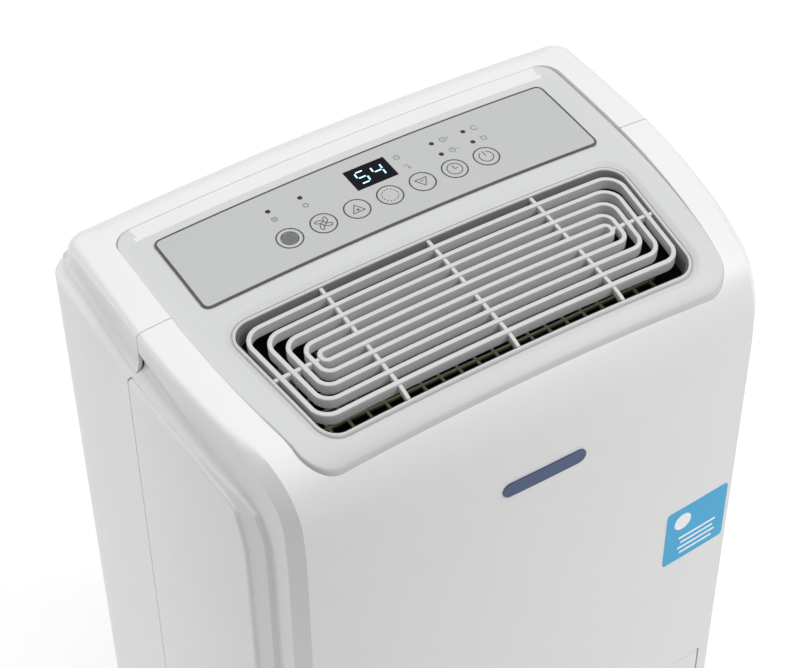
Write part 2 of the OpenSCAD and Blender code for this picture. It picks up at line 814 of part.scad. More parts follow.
// hose from the tray down to the spigot
module drain_hose() {
    x = drain_at[0];
    y = hose_y;
    color("#dddddd") difference() {
        union() {
            translate([x, y, drain_at[1]])
                cylinder(h = floor2_z + deck_t - drain_at[1], r = hose_r, $fn = 32);
            translate([x, y, drain_at[1]]) rotate([-90, 0, 0])
                cylinder(h = rear_y - wall - 2 - y, r = hose_r, $fn = 32);
            translate([x, y, drain_at[1]]) sphere(r = hose_r, $fn = 32);
        }
        translate([x, y, drain_at[1]]) cylinder(h = 200, r = hose_r - 1.5, $fn = 32);
        translate([x, y, drain_at[1]]) rotate([-90, 0, 0]) cylinder(h = 200, r = hose_r - 1.5, $fn = 32);
    }
}

module drain_spigot() {
    color(dark) translate([drain_at[0], rear_y, drain_at[1]]) rotate([-90, 0, 0]) difference() {
        union() {
            translate([0, 0, -wall - 5.5]) cylinder(h = wall + 5.5 + drain_len, r = drain_r);
            cylinder(h = 1.6, r = drain_r + 3);
            translate([0, 0, -wall - 2.2]) cylinder(h = 2, r = drain_r + 3);
        }
        translate([0, 0, -wall - 8]) cylinder(h = 60, r = drain_r - 3);
    }
}

module compressor() {
    color(dark) translate([compressor_at[0], compressor_at[1], base_z + base_t + mount_h]) {
        rotate_extrude() polygon(concat(
            [[0, 0], [compressor_r - 14, 0]],
            [for (a = [0:15:90]) [compressor_r - 14 + 14 * sin(a), 14 - 14 * cos(a)]],
            [for (a = [0:15:90]) [compressor_r - 30 + 30 * cos(a), compressor_h - 30 + 30 * sin(a)]],
            [[0, compressor_h]]));
        translate([0, 0, compressor_h - 2]) cylinder(h = 14, r = 15);
        for (a = [0:120:240]) rotate([0, 0, a]) translate([compressor_r - 16, -9, -2]) cube([22, 18, 3]);
    }
}

module compressor_mounts() {
    color(black) for (a = [0:120:240])
        translate([compressor_at[0], compressor_at[1], base_z + base_t]) rotate([0, 0, a])
            translate([compressor_r - 1, 0, 0]) cylinder(h = mount_h - 2, r = 6);
}

// ---------- fan ----------

module scroll_plan(inset) {
    translate([0, fan_z]) circle(r = scroll_r - inset);
    polygon([[-scroll_r + inset, fan_z], [scroll_r - inset, fan_z], [duct_hw - inset, guard_z - 30],
        [duct_hw - inset, big], [-duct_hw + inset, big], [-duct_hw + inset, guard_z - 30]]);
}

module blower_housing() {
    color("#9aa0a5") intersection() {
        difference() {
            translate([0, housing_back, 0]) rotate([90, 0, 0])
                linear_extrude(housing_back - housing_front) scroll_plan(0);
            translate([0, housing_back - duct_wall, 0]) rotate([90, 0, 0])
                linear_extrude(housing_back - housing_front - 2 * duct_wall) scroll_plan(duct_wall);
            translate([0, housing_back + 1, fan_z]) rotate([90, 0, 0])
                cylinder(h = duct_wall + 2, r = inlet_r);
            translate([0, housing_front + duct_wall + 1, fan_z]) rotate([90, 0, 0])
                cylinder(h = duct_wall + 2, r = shaft_r + 3);
        }
        side_solid(grille_sink + blade_h + 0.5, 0);
    }
}

module blower_wheel() {
    depth = wheel_y1 - wheel_y0;
    color(dark) translate([0, wheel_y1, fan_z]) rotate([90, 0, 0]) {
        difference() {
            union() {
                cylinder(h = 3, r = wheel_r);
                translate([0, 0, depth - 3]) cylinder(h = 3, r = wheel_r);
                translate([0, 0, depth - 14]) cylinder(h = 14, r = 12);
            }
            translate([0, 0, -1]) cylinder(h = 5, r = wheel_r - 12);
            translate([0, 0, depth - 16]) cylinder(h = 18, r = shaft_r);
        }
        for (i = [0:wheel_blades - 1]) rotate([0, 0, i * 360 / wheel_blades])
            translate([wheel_r - 11.5, -0.8, 2]) rotate([0, 0, 24]) cube([11, 1.6, depth - 4]);
    }
}

module fan_shaft() {
    color(metal) translate([0, wheel_y0 + 14, fan_z]) rotate([90, 0, 0])
        cylinder(h = wheel_y0 + 14 - housing_front + motor_t - 4, r = shaft_r);
}

module fan_motor() {
    color(metal) translate([0, housing_front, fan_z]) rotate([90, 0, 0]) difference() {
        union() {
            cylinder(h = motor_t, r = 42);
            translate([0, 0, motor_t - 1]) cylinder(h = 3, r = 28);
        }
        translate([0, 0, -1]) cylinder(h = motor_t - 2, r = shaft_r + run_gap);
    }
}

// ---------- electrics ----------

module control_box() {
    color("#c9ccd0") translate([box_x, box_y, floor2_z + deck_t + 0.2]) difference() {
        cube(box_size);
        translate([2, 2, 2]) cube(box_size - [4, 4, 4]);
        translate([box_size[0] / 2 - 8, 20, box_size[2] - 3]) cube([16, 16, 4]);
    }
}

module run_capacitor() {
    color(metal) translate([capacitor_at[0], capacitor_at[1], base_z + base_t]) {
        cylinder(h = 70, r = 18);
        for (x = [-6, 6]) translate([x - 3, -0.4, 69]) cube([6, 0.8, 9]);
    }
}

module cord_gland() {
    color(dark) translate([cord_at[0], rear_y, cord_at[1]]) rotate([-90, 0, 0]) difference() {
        union() {
            translate([0, 0, -wall - 3]) cylinder(h = wall + 9, r = cord_r + gland_wall);
            cylinder(h = 2, r = cord_r + 5.5);
            translate([0, 0, -wall - 2.5]) cylinder(h = 2.3, r = cord_r + 5);
        }
        translate([0, 0, -20]) cylinder(h = 50, r = cord_r);
    }
}

module shell_screws() {
    color(metal) for (p = screw_at) translate([p[0], rear_y, p[1]]) rotate([-90, 0, 0]) {
        translate([0, 0, -14]) cylinder(h = 14, r = screw_r, $fn = 24);
        difference() {
            cylinder(h = 2, r = 3.6, $fn = 24);
            for (a = [0, 90]) rotate([0, 0, a]) translate([-2.2, -0.4, 1]) cube([4.4, 0.8, 2]);
        }
    }
}

// ---------- casters ----------

module caster_fork(x, y) {
    color(dark) translate([x, y, 0]) difference() {
        union() {
            translate([0, 0, caster_top]) cylinder(h = base_z - caster_top - 0.4, r = 9);
            translate([0, 0, caster_top]) cylinder(h = stem_len + base_z - caster_top, r = stem_r);
            for (s = [-1, 1]) translate([s * (wheel_w / 2 + 1.4) - 1, -4.5, caster_r - 4])
                cube([2, caster_trail + 9, caster_top - caster_r + 5]);
            translate([-wheel_w / 2 - 2.4, -4.5, caster_top - 1])
                cube([wheel_w + 4.8, caster_trail + 4, 2]);
        }
        translate([0, caster_trail, caster_r]) rotate([0, 90, 0])
            cylinder(h = 2 * wheel_w, r = axle_r, center = true);
    }
}

module caster_wheel(x, y) {
    color(black) translate([x, y + caster_trail, caster_r]) rotate([0, 90, 0]) difference() {
        cylinder(h = wheel_w, r = caster_r, center = true);
        cylinder(h = wheel_w + 2, r = axle_r + run_gap, center = true);
    }
}

module caster_axle(x, y) {
    color(metal) translate([x, y + caster_trail, caster_r]) rotate([0, 90, 0])
        cylinder(h = wheel_w + 4.8, r = axle_r, center = true);
}

front_shell();
rear_shell();
base_pan();
chassis_frame();
top_panel();
control_membrane();
display_window();
indicator_leds();
key(0);  // filter_key
key(1);  // fan_key
key(2);  // up_key
key(3);  // mode_key
key(4);  // down_key
key(5);  // timer_key
key(6);  // power_key
display_board();
board_components();
outlet_grille();
outlet_guard();
badge();
front_label();
bucket_front();
bucket_tank();
bucket_lid();
bucket_handle();
bucket_float();
level_window();
bucket_switch();
switch_plunger();
intake_grille();
filter_frame();
filter_mesh();
evaporator();
condenser();
refrigerant_pipes();
drip_tray();
drain_hose();
drain_spigot();
compressor();
compressor_mounts();
blower_housing();
blower_wheel();
fan_shaft();
fan_motor();
control_box();
run_capacitor();
cord_gland();
shell_screws();
caster_fork(-caster_x, caster_y[0]);  // caster_fork_fl
caster_fork(caster_x, caster_y[0]);  // caster_fork_fr
caster_fork(-caster_x, caster_y[1]);  // caster_fork_rl
caster_fork(caster_x, caster_y[1]);  // caster_fork_rr
caster_wheel(-caster_x, caster_y[0]);  // caster_wheel_fl
caster_wheel(caster_x, caster_y[0]);  // caster_wheel_fr
caster_wheel(-caster_x, caster_y[1]);  // caster_wheel_rl
caster_wheel(caster_x, caster_y[1]);  // caster_wheel_rr
caster_axle(-caster_x, caster_y[0]);  // caster_axle_fl
caster_axle(caster_x, caster_y[0]);  // caster_axle_fr
caster_axle(-caster_x, caster_y[1]);  // caster_axle_rl
caster_axle(caster_x, caster_y[1]);  // caster_axle_rr
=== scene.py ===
import math

import bmesh
import bpy
import numpy as np
from mathutils import Matrix, Vector


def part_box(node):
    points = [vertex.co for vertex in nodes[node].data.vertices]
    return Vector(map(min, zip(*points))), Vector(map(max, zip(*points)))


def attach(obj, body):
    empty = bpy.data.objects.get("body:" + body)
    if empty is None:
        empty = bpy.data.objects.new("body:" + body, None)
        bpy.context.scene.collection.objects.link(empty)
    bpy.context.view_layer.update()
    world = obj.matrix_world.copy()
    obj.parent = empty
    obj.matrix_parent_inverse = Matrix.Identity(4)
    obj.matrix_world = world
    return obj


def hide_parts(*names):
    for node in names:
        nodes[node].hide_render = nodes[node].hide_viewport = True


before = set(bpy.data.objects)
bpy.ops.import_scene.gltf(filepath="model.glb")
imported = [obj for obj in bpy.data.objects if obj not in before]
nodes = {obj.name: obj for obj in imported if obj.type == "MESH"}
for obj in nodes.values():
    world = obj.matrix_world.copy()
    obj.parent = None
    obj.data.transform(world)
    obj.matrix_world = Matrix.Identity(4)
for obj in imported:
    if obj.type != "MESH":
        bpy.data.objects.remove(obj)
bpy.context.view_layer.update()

mm = 0.001  # a millimetre in metres


def boxMm(node):
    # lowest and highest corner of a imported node, in millimetres
    low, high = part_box(node)
    return np.array(low) / mm, np.array(high) / mm


frontLow, frontHigh = boxMm("front_shell")
rearLow, rearHigh = boxMm("rear_shell")

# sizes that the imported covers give, in millimetres
body = {
    "half": rearHigh[0],  # outside of the cheeks
    "front": frontLow[1],
    "seam": (frontHigh[1] + rearLow[1]) / 2,
    "rear": rearHigh[1],
    "top": rearHigh[2],
    "skirt": frontLow[2],
    "wall": 2.6,
}

# the covers' shape: arcs of the side outline (radii in mm, slopes in degrees), the band, the cheeks
cover = {
    "rearRadius": 18,
    "browRadius": 52,
    "faceRadius": 350,
    "slopeBack": 1.0,
    "slopeBrow": 8.5,
    "slopeFace": 84.0,
    "leanRun": 60,  # length past the seam in which raised points come square to the outline
    "bandHalf": 184,  # half width of the top band at the seam
    "taperRadius": 650,  # arc along which band and cheeks narrow forwards
    "taperFrom": body["seam"] + 10,
    "crown": 1 / 4500,  # the top and the front sink by x squared times this
    "cheekHalf": 192.8,  # at the seam
    "seamGap": 0.5,
    "windowHalf": 161.5,
    "windowFront": body["seam"] - 135.3,
    "windowBack": body["seam"] + 78.4,
    "windowRadius": 20,
    "windowBackRadius": 13,
}


def smooth(t):
    # 0 to 1 with level ends
    t = np.clip(t, 0, 1)
    return t * t * (3 - 2 * t)


def mix(a, b, t):
    return a + (b - a) * t


def unit(v):
    return v / np.linalg.norm(v, axis=-1, keepdims=True)


uprightSteps = 59  # points on the straight lower part of the side outline


def sidePath():
    # the side outline from the deck's back: a long arc, the brow, a slow arc, then straight down
    c = cover
    rad = math.radians
    deckY = body["rear"] - c["rearRadius"]
    sBack, sBrow, sFace = (math.sin(rad(c[k])) for k in ("slopeBack", "slopeBrow", "slopeFace"))
    run = deckY - body["front"] - c["browRadius"] * (sFace - sBrow) - c["faceRadius"] * (1 - sFace)
    deckRadius = run / (sBrow - sBack)
    parts, y0, z0 = [], deckY, body["top"]
    legs = (
        (deckRadius, c["slopeBack"], c["slopeBrow"], 240),
        (c["browRadius"], c["slopeBrow"], c["slopeFace"], 240),
        (c["faceRadius"], c["slopeFace"], 90.0, 80),
    )
    for radius, start, end, count in legs:
        a = np.radians(np.linspace(start, end, count))
        y = y0 + radius * (math.sin(rad(start)) - np.sin(a))
        z = z0 - radius * (math.cos(rad(start)) - np.cos(a))
        parts.append((y, z, a))
        y0, z0 = y[-1], z[-1]
    down = np.linspace(0, z0 - body["skirt"], uprightSteps + 1)[1:]
    parts.append((np.full_like(down, y0), z0 - down, np.full_like(down, math.pi / 2)))
    y, z, a = (np.concatenate(v) for v in zip(*parts))
    s = np.r_[0, np.cumsum(np.hypot(np.diff(y), np.diff(z)))]
    s -= np.interp(-body["seam"], -y, s)
    return {"s": s, "y": y, "z": z, "a": a, "faceTop": z0}


path = sidePath()


def onSide(s):
    # y, z and slope of the side outline at the length s forward of the seam
    return tuple(np.interp(s, path["s"], path[k]) for k in ("y", "z", "a"))


def lengthOver(y):
    # the length s at which the upper part of the side outline passes over y
    return np.interp(-np.asarray(y, float), -path["y"][:-uprightSteps], path["s"][:-uprightSteps])


def leanAt(s):
    # 0 at the seam, where points are raised straight up, and 1 where they are raised square to the outline
    return smooth(s / cover["leanRun"])


def lift(x, s, h):
    # the point at x and s, raised by h over the crowned band
    y, z, a = onSide(s)
    up = h - cover["crown"] * x * x
    return np.stack(np.broadcast_arrays(x, y - up * np.sin(a) * leanAt(s), z + up * np.cos(a)), -1)


def eased(x, table, spread=9):
    # a table's value at x, averaged over a short run on both sides so that it has no corners
    at, value = np.array(table, float).T
    return np.mean([np.interp(x + d, at, value) for d in np.linspace(-spread, spread, 9)], 0)


def bandHalf(y, half):
    # half width that narrows forward along a large arc
    back = np.clip(cover["taperFrom"] - y, 0, None)
    r = cover["taperRadius"]
    return half - (r - np.sqrt(r * r - back * back))


def lengthAt(x, y, h=0.0):
    # the length s at which a point of the crowned surface at x has the given y
    x, y = np.broadcast_arrays(np.asarray(x, float), np.asarray(y, float))
    s = lengthOver(y)
    for turn in range(6):
        s = s + (lift(x, s, h)[..., 1] - y) / np.clip(np.cos(onSide(s)[2]), 0.25, 1)
    return s


def topZ(x, y, h=0.0):
    # height of the crowned top over a point in plan, behind the brow
    return lift(x, lengthOver(y), h)[..., 2]


def gridFaces(rows, cols, start=0, wrap=False):
    # quads of a grid of points, rows by cols, closed round its columns if wrap
    r, c = np.meshgrid(np.arange(rows - 1), np.arange(cols if wrap else cols - 1), indexing="ij")
    n = (c + 1) % cols
    quads = np.stack([r * cols + c, r * cols + n, (r + 1) * cols + n, (r + 1) * cols + c], -1)
    return quads.reshape(-1, 4) + start


weldGap, sliverGap = 2e-6, 1e-7  # metres


def cleanMesh(mesh, weld=0.0, sliver=0.0, turn=True):
    # points closer than weld are joined, slivers go, and all faces are turned one way; lengths in metres
    bm = bmesh.new()
    bm.from_mesh(mesh)
    if weld:
        bmesh.ops.remove_doubles(bm, verts=bm.verts, dist=weld)
    if sliver:
        bmesh.ops.dissolve_degenerate(bm, edges=bm.edges, dist=sliver)
    if turn:
        bmesh.ops.recalc_face_normals(bm, faces=bm.faces)
    bm.to_mesh(mesh)
    bm.free()


def faceFacts(mesh):
    # middle, normal and area of every face
    count = len(mesh.polygons)
    middles, normals, areas = np.zeros(count * 3), np.zeros(count * 3), np.zeros(count)
    mesh.polygons.foreach_get("center", middles)
    mesh.polygons.foreach_get("normal", normals)
    mesh.polygons.foreach_get("area", areas)
    return middles.reshape(-1, 3), normals.reshape(-1, 3), areas


def addPiece(name, mesh):
    piece = bpy.data.objects.new(name, mesh)
    bpy.context.scene.collection.objects.link(piece)
    return piece


def makeMesh(name, blocks, centre=None, thick=0.0, sharp=35, mirrorX=False, weld=True):
    # blocks of (points, faces) in millimetres are welded, faced outwards from centre and given a wall
    points = np.concatenate([np.asarray(p, float).reshape(-1, 3) for p, f in blocks])
    starts = np.cumsum([0] + [np.asarray(p).reshape(-1, 3).shape[0] for p, f in blocks[:-1]])
    faces = np.concatenate([np.asarray(f) + k for (p, f), k in zip(blocks, starts)])
    if mirrorX:
        faces = np.concatenate([faces, faces[:, ::-1] + len(points)])
        points = np.concatenate([points, points * [-1, 1, 1]])
    mesh = bpy.data.meshes.new(name)
    mesh.from_pydata((points * mm).tolist(), [], faces.tolist())
    cleanMesh(mesh, weldGap if weld else 0, sliverGap)
    if centre is not None:
        middles, normals, areas = faceFacts(mesh)
        outward = unit(middles - np.array(centre) * mm)
        if (np.sum(outward * normals, 1) * areas).sum() < 0:
            mesh.flip_normals()
    piece = addPiece(name, mesh)
    if thick:
        addWall(piece, thick)
    shade(piece, sharp)
    return piece


def addWall(piece, thick):
    wall = piece.modifiers.new("wall", "SOLIDIFY")
    wall.thickness = thick * mm
    wall.offset = -1
    wall.use_even_offset = False
    applyModifiers(piece)


def applyModifiers(piece):
    bpy.context.view_layer.update()
    done = bpy.data.meshes.new_from_object(piece.evaluated_get(bpy.context.evaluated_depsgraph_get()))
    piece.modifiers.clear()
    piece.data = done


def shade(piece, sharp):
    mesh = piece.data
    mesh.polygons.foreach_set("use_smooth", np.ones(len(mesh.polygons), bool))
    mesh.set_sharp_from_angle(angle=math.radians(sharp))
    mesh.update()


def finishPiece(piece, bodyName, materials, stands=()):
    for m in materials:
        piece.data.materials.append(m)
    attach(piece, bodyName)
    if stands:
        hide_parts(*stands)
    return piece


def linear(hexColour):
    # sRGB hex to linear
    v = [int(hexColour[i : i + 2], 16) / 255 for i in (1, 3, 5)]
    return tuple(c / 12.92 if c <= 0.04045 else ((c + 0.055) / 1.055) ** 2.4 for c in v) + (1.0,)


def addNode(tree, kind, settings=None, links=None):
    # one node with its settings and its links; socket names or numbers are keys
    node = tree.nodes.new(kind)
    for key, value in (settings or {}).items():
        if isinstance(key, str) and hasattr(node, key):
            setattr(node, key, value)
        else:
            node.inputs[key].default_value = value
    for key, source in (links or {}).items():
        tree.links.new(source, node.inputs[key])
    return node


broadMm, roughSwing = 60, 0.05  # size of the uneven tone's patches; how far the grain moves the roughness


def plastic(name, colour, rough=0.4, grainMm=0.9, grain=0.12, tone=0.03, depthMm=0.02, **shader):
    # moulded plastic: spark-eroded grain in the bump and roughness, and a faint uneven tone
    material = bpy.data.materials.new(name)
    material.use_nodes = True
    tree = material.node_tree
    surface = tree.nodes["Principled BSDF"]
    place = addNode(tree, "ShaderNodeTexCoord").outputs["Object"]
    fine = addNode(tree, "ShaderNodeTexNoise", {"Scale": 1 / (grainMm * mm), "Detail": 3.0}, {"Vector": place})
    broad = addNode(tree, "ShaderNodeTexNoise", {"Scale": 1 / (broadMm * mm), "Detail": 2.0}, {"Vector": place})
    base = linear(colour)
    dark = tuple(c * (1 - tone) for c in base[:3]) + (1.0,)
    uneven = addNode(tree, "ShaderNodeMix", {"data_type": "RGBA"}, {0: broad.outputs[0]})
    uneven.inputs[6].default_value, uneven.inputs[7].default_value = dark, base  # the two colour sockets
    relief = {"Strength": grain, "Distance": depthMm * mm}
    bump = addNode(tree, "ShaderNodeBump", relief, {"Height": fine.outputs[0]})
    swing = {"To Min": rough - roughSwing, "To Max": rough + roughSwing}
    roughness = addNode(tree, "ShaderNodeMapRange", swing, {"Value": fine.outputs[0]})
    tree.links.new(uneven.outputs[2], surface.inputs["Base Color"])
    tree.links.new(bump.outputs[0], surface.inputs["Normal"])
    tree.links.new(roughness.outputs[0], surface.inputs["Roughness"])
    for key, value in shader.items():
        surface.inputs[key.replace("_", " ")].default_value = value
    return material


paint = {
    "coverWhite": plastic("white ABS, moulded", "#E4E4E4", 0.36),  # soft sheen with a fine grain
    # a shade darker and duller than the covers
    "panelGrey": plastic("light grey ABS, moulded", "#CBCCCC", 0.42),
    "rampPaintedHighlight": plastic("light grey ABS, painted highlight on the polished ramp", "#DFDFDF", 0.3),  # painted highlight: lighter than the panel grey, standing in for the sheen on the back ramp, and smoother
    "collarPaintedShade": plastic("mid grey, painted shade inside the outlet", "#6E7070", 0.55),  # painted shade: a mid grey that stands in for the shadow inside the outlet
    # flat and matt, with hardly any grain
    "filmGrey": plastic("printed polyester film", "#B9BABB", 0.5, 0.5, 0.08),
    "filmInk": plastic("dark grey screen ink", "#4E4F50", 0.55),  # flat dark lines
    # near black with a weak shine
    "windowBlack": plastic("black acrylic window", "#05070F", 0.45, 2.0, 0.01, Specular_IOR_Level=0.12),
    "ledBlack": plastic("black LED lens", "#0A0A0C", 0.2),  # small glossy dots
    "ductBlack": plastic("black PP", "#0B0B0B", 0.6),  # matt black hollows
    "badgeBlue": plastic("navy trim foil", "#23406F", 0.35),  # smooth dark blue
    "labelCyan": plastic("cyan vinyl label", "#0AA5D8", 0.4, 0.7, 0.05),  # clean bright card
    "labelWhite": plastic("white screen ink", "#F2F6F8", 0.45),  # flat white marks
    "figureGlow": plastic(  # pale blue that lights itself
        "lit LED figures", "#CFE6FF", 0.4, Emission_Color=linear("#8FD4FF"), Emission_Strength=1.2
    ),
    "guardOlive": plastic("olive PP safety mesh", "#6C6A52", 0.55),  # dull brownish mesh
    "filterGrey": plastic("grey ABS filter frame", "#8F9498", 0.5),  # plain satin grey
    "meshDark": plastic("dark nylon mesh", "#2C2F31", 0.7),  # dark, no shine
    "coilAluminium": plastic("aluminium fins, pressed", "#B9BEC2", 0.35, Metallic=1.0),  # bright brushed metal
    "pipeCopper": plastic("copper tube, drawn", "#C27C52", 0.3, Metallic=1.0),  # warm metal shine
    # cloudy, light comes through
    "hoseClear": plastic("milky PVC hose", "#D9DDDC", 0.3, Transmission_Weight=0.4),
    "enamelBlack": plastic("black enamelled steel", "#141516", 0.3),  # smooth black shine
    "rubberBlack": plastic("black rubber, moulded", "#17181A", 0.7),  # dead black
    "steelZinc": plastic("zinc-plated steel sheet", "#AEB2B5", 0.35, Metallic=1.0),  # greyish metal shine
    "boxGrey": plastic("grey ABS, moulded", "#A9ACAE", 0.5),  # satin grey
    "boardGreen": plastic("green solder mask", "#1F5B3A", 0.4),  # glossy green
    # see-through with a grey tint
    "tankClear": plastic("smoked clear SAN", "#C9D6DA", 0.12, Transmission_Weight=0.85, IOR=1.5),
    "floatCream": plastic("cream foamed PP", "#E8E0C8", 0.7),  # chalky cream
    "plungerRed": plastic("red acetal", "#B3231F", 0.35),  # small red spot
}
print("materials made")


# camera, light and floor; places in metres, angles in degrees
studio = {
    "eye": (-0.528, -0.813, 1.442),
    "azimuth": -32.11,
    "elevation": 43.64,
    "roll": 0.68,
    "lens": 97.05,
    "clip": (0.05, 200),
    # the tent is dim at the horizon and bright overhead
    "rise": {"From Min": 0.4, "From Max": 0.95, "To Min": 0.14, "To Max": 1.85},
    # and duller round one direction at the front left
    "dullWay": (-0.73, -0.66, 0.17),
    "dull": {"From Min": 0.72, "From Max": 0.98, "To Min": 1.0, "To Max": 0.4},
    # each lamp's place, size and watts
    "lamps": {"rearLeft": ((-2.3, 1.7, 0.55), 0.9, 9), "frontRight": ((1.6, -1.5, 2.4), 1.0, 18)},
    "aim": (0, 0, 0.4),
    "floor": ((-60, -60, 0), (60, -60, 0), (60, 60, 0), (-60, 60, 0)),
    # a brown board that keeps light off the faces turned to it
    "board": ((-0.86, -0.30, 0.02), (-0.30, -0.82, 0.02), (-0.30, -0.82, 0.62), (-0.86, -0.30, 0.62)),
}


def flatPiece(name, corners, material):
    mesh = bpy.data.meshes.new(name)
    mesh.from_pydata(corners, [], [(0, 1, 2, 3)])
    mesh.materials.append(material)
    return addPiece(name, mesh)


def setStage():
    s = studio
    cam = addPiece("camera", bpy.data.cameras.new("camera"))
    cam.data.lens, cam.data.sensor_width = s["lens"], 36
    cam.data.clip_start, cam.data.clip_end = s["clip"]
    a, e = math.radians(s["azimuth"]), math.radians(s["elevation"])
    back = Vector((math.sin(a) * math.cos(e), -math.cos(a) * math.cos(e), math.sin(e)))
    roll = Matrix.Rotation(-math.radians(s["roll"]), 4, "Z")
    turn = (-back).to_track_quat("-Z", "Y").to_matrix().to_4x4() @ roll
    cam.matrix_world = Matrix.Translation(Vector(s["eye"])) @ turn
    bpy.context.scene.camera = cam

    world = bpy.data.worlds.new("studio")
    world.use_nodes = True
    tree = world.node_tree
    way = addNode(tree, "ShaderNodeTexCoord").outputs["Generated"]
    height = addNode(tree, "ShaderNodeSeparateXYZ", None, {0: way}).outputs["Z"]
    rise = addNode(tree, "ShaderNodeMapRange", s["rise"], {"Value": height})
    wall = addNode(tree, "ShaderNodeVectorMath", {"operation": "DOT_PRODUCT", 1: s["dullWay"]}, {0: way})
    dull = addNode(tree, "ShaderNodeMapRange", s["dull"], {"Value": wall.outputs["Value"]})
    both = {0: rise.outputs[0], 1: dull.outputs[0]}
    total = addNode(tree, "ShaderNodeMath", {"operation": "MULTIPLY"}, both)
    tree.links.new(total.outputs[0], tree.nodes["Background"].inputs["Strength"])
    tree.nodes["Background"].inputs["Color"].default_value = (1, 1, 1, 1)
    bpy.context.scene.world = world
    bpy.context.scene.view_settings.view_transform = "Standard"
    for name, (place, size, power) in s["lamps"].items():
        lamp = addPiece(name, bpy.data.lights.new(name, "AREA"))
        lamp.data.energy, lamp.data.size = power, size
        lamp.location = place
        lamp.rotation_euler = (Vector(s["aim"]) - Vector(place)).to_track_quat("-Z", "Y").to_euler()
    floor = flatPiece("floor", s["floor"], plastic("pale studio floor", "#FFFFFF", 0.8, 4.0, 0.02, 0.0))
    flag = flatPiece("board", s["board"], plastic("brown felt board", "#54463D", 0.9, 4.0, 0.02, 0.0))
    flag.visible_camera, flag.visible_shadow = False, False


setStage()
print("stage set")


# front cover; pairs are a size at the seam and the same size at the front
frontCover = {
    "edge": (4.2, 8.0),  # width of the band's edge: rounded at the seam, a flat at the front
    "edgeRun": 150,  # length from the seam in which the edge and the fillet change
    "flatFrom": 80,
    "flatRun": 45,
    "fillet": (6.0, 4.0),
    "lip": 22.0,  # the finger groove's lip lies this far under the middle of the top, at the seam
    "groove": 4.0,
    "grooveLength": 95,
    "bendRun": 45,  # length below the window over which the rows follow its front edge
    "corner": 2.4,  # rounding of the cheek's outer edge
    # depth of the cheek's inner and outer edge under the side outline, along its length
    "ledgeIn": ((0, 37), (70, 38.5), (103, 41.6), (139, 41), (165, 37.5), (181, 31), (193, 28.4), (208, 27.7)),
    "ledgeOut": ((0, 39.2), (70, 39.2), (86, 42), (102, 44.4), (139, 45.2), (177, 41.8), (195, 38.6),
                 (211, 37.1), (230, 36.8)),
    "bucketHalf": 150.8,  # the bucket's opening
    "bucketLow": 44.2,
    "bucketHigh": 235.8,
}


def windowHalf(y):
    # half width of the panel's window, with its front corners
    c = cover
    side = bandHalf(y, c["windowHalf"])
    start = c["windowFront"] + c["windowRadius"]
    cornerX = bandHalf(start, c["windowHalf"]) - c["windowRadius"]
    drop = np.clip(start - y, 0, c["windowRadius"])
    return np.where(y < start, cornerX + np.sqrt(c["windowRadius"] ** 2 - drop**2), side)


def bandEdge(s):
    # inner end of the band's edge, its outer end on the wall, and the width of the edge, at each length s
    y, z, a = onSide(s)
    width = mix(*frontCover["edge"], smooth(s / frontCover["edgeRun"]))
    fall = cover["crown"] * bandHalf(y, cover["bandHalf"]) ** 2
    wallY = y + (fall + width) * np.sin(a) * leanAt(s)
    wallX = bandHalf(wallY, cover["bandHalf"])
    return wallX - width, wallX, width


def sectionPoint(s, x, h):
    # a point of a section at length s: x across, h square to the side outline, without the crown
    return lift(x, s, h + cover["crown"] * x * x)


def frontSection(s):
    # columns from the band's edge out to the cheek's side, for each length in s
    f = frontCover
    s = s[:, None]
    edgeX, wallX, width = bandEdge(s)
    y = onSide(s)[0]
    flat = smooth((s - f["flatFrom"]) / f["flatRun"])
    q = np.linspace(0, 1, 7)[None, :]
    turn = q * math.pi / 2
    edge = (
        edgeX + width * mix(np.sin(turn), q, flat),
        -cover["crown"] * edgeX**2 - width * mix(1 - np.cos(turn), q, flat),
    )
    depth, depthOut = eased(s, f["ledgeIn"]), eased(s, f["ledgeOut"])
    groove = f["groove"] * (1 - smooth(s / f["grooveLength"]))
    fillet = mix(*f["fillet"], smooth(s / f["edgeRun"]))
    lipDepth = mix(f["lip"], depth - fillet, smooth(s / f["grooveLength"]))
    lean = np.sin(onSide(s)[2]) * leanAt(s)
    q = np.linspace(0, 1, 6)[None, 1:]
    lipX = bandHalf(y + lipDepth * lean, cover["bandHalf"])
    wall = (mix(wallX, lipX, q), mix(edge[1][:, -1:], -lipDepth, q))
    q = np.linspace(0, 1, 9)[None, 1:]
    bendX = lipX - 2 * groove
    endX = lipX + fillet
    bend = (
        (1 - q) ** 2 * lipX + 2 * q * (1 - q) * bendX + q**2 * endX,
        -((1 - q) ** 2 * lipDepth + (1 - (1 - q) ** 2) * depth),
    )
    r = f["corner"]
    half = bandHalf(y + (depthOut + r) * lean, cover["cheekHalf"])
    q = np.linspace(0, 1, 5)[None, 1:]
    ledge = (mix(endX, half - r, q), -mix(depth, depthOut, q))
    turn = np.linspace(0, math.pi / 2, 7)[None, 1:]
    corner = (half - r + r * np.sin(turn), -depthOut - r * (1 - np.cos(turn)))
    x = np.concatenate([v[0] + 0 * s for v in (edge, wall, bend, ledge, corner)], 1)
    h = np.concatenate([v[1] + 0 * s for v in (edge, wall, bend, ledge, corner)], 1)
    return sectionPoint(s + 0 * x, x, h)


def sideFill(rim, seamY):
    # the cheek's side between its rounded edge and the seam, on the cheek's slow curve
    run = np.r_[0, np.cumsum(np.hypot(np.diff(rim[:, 1]), np.diff(rim[:, 2])))]
    foot = np.stack([rim[:, 0], np.full(len(rim), seamY), mix(rim[0, 2], rim[-1, 2], run / run[-1])], -1)
    grid = mix(rim[:, None, :], foot[:, None, :], np.linspace(0, 1, 13)[None, :, None])
    grid[:, 1:, 0] = bandHalf(grid[:, 1:, 1], cover["cheekHalf"])
    return grid


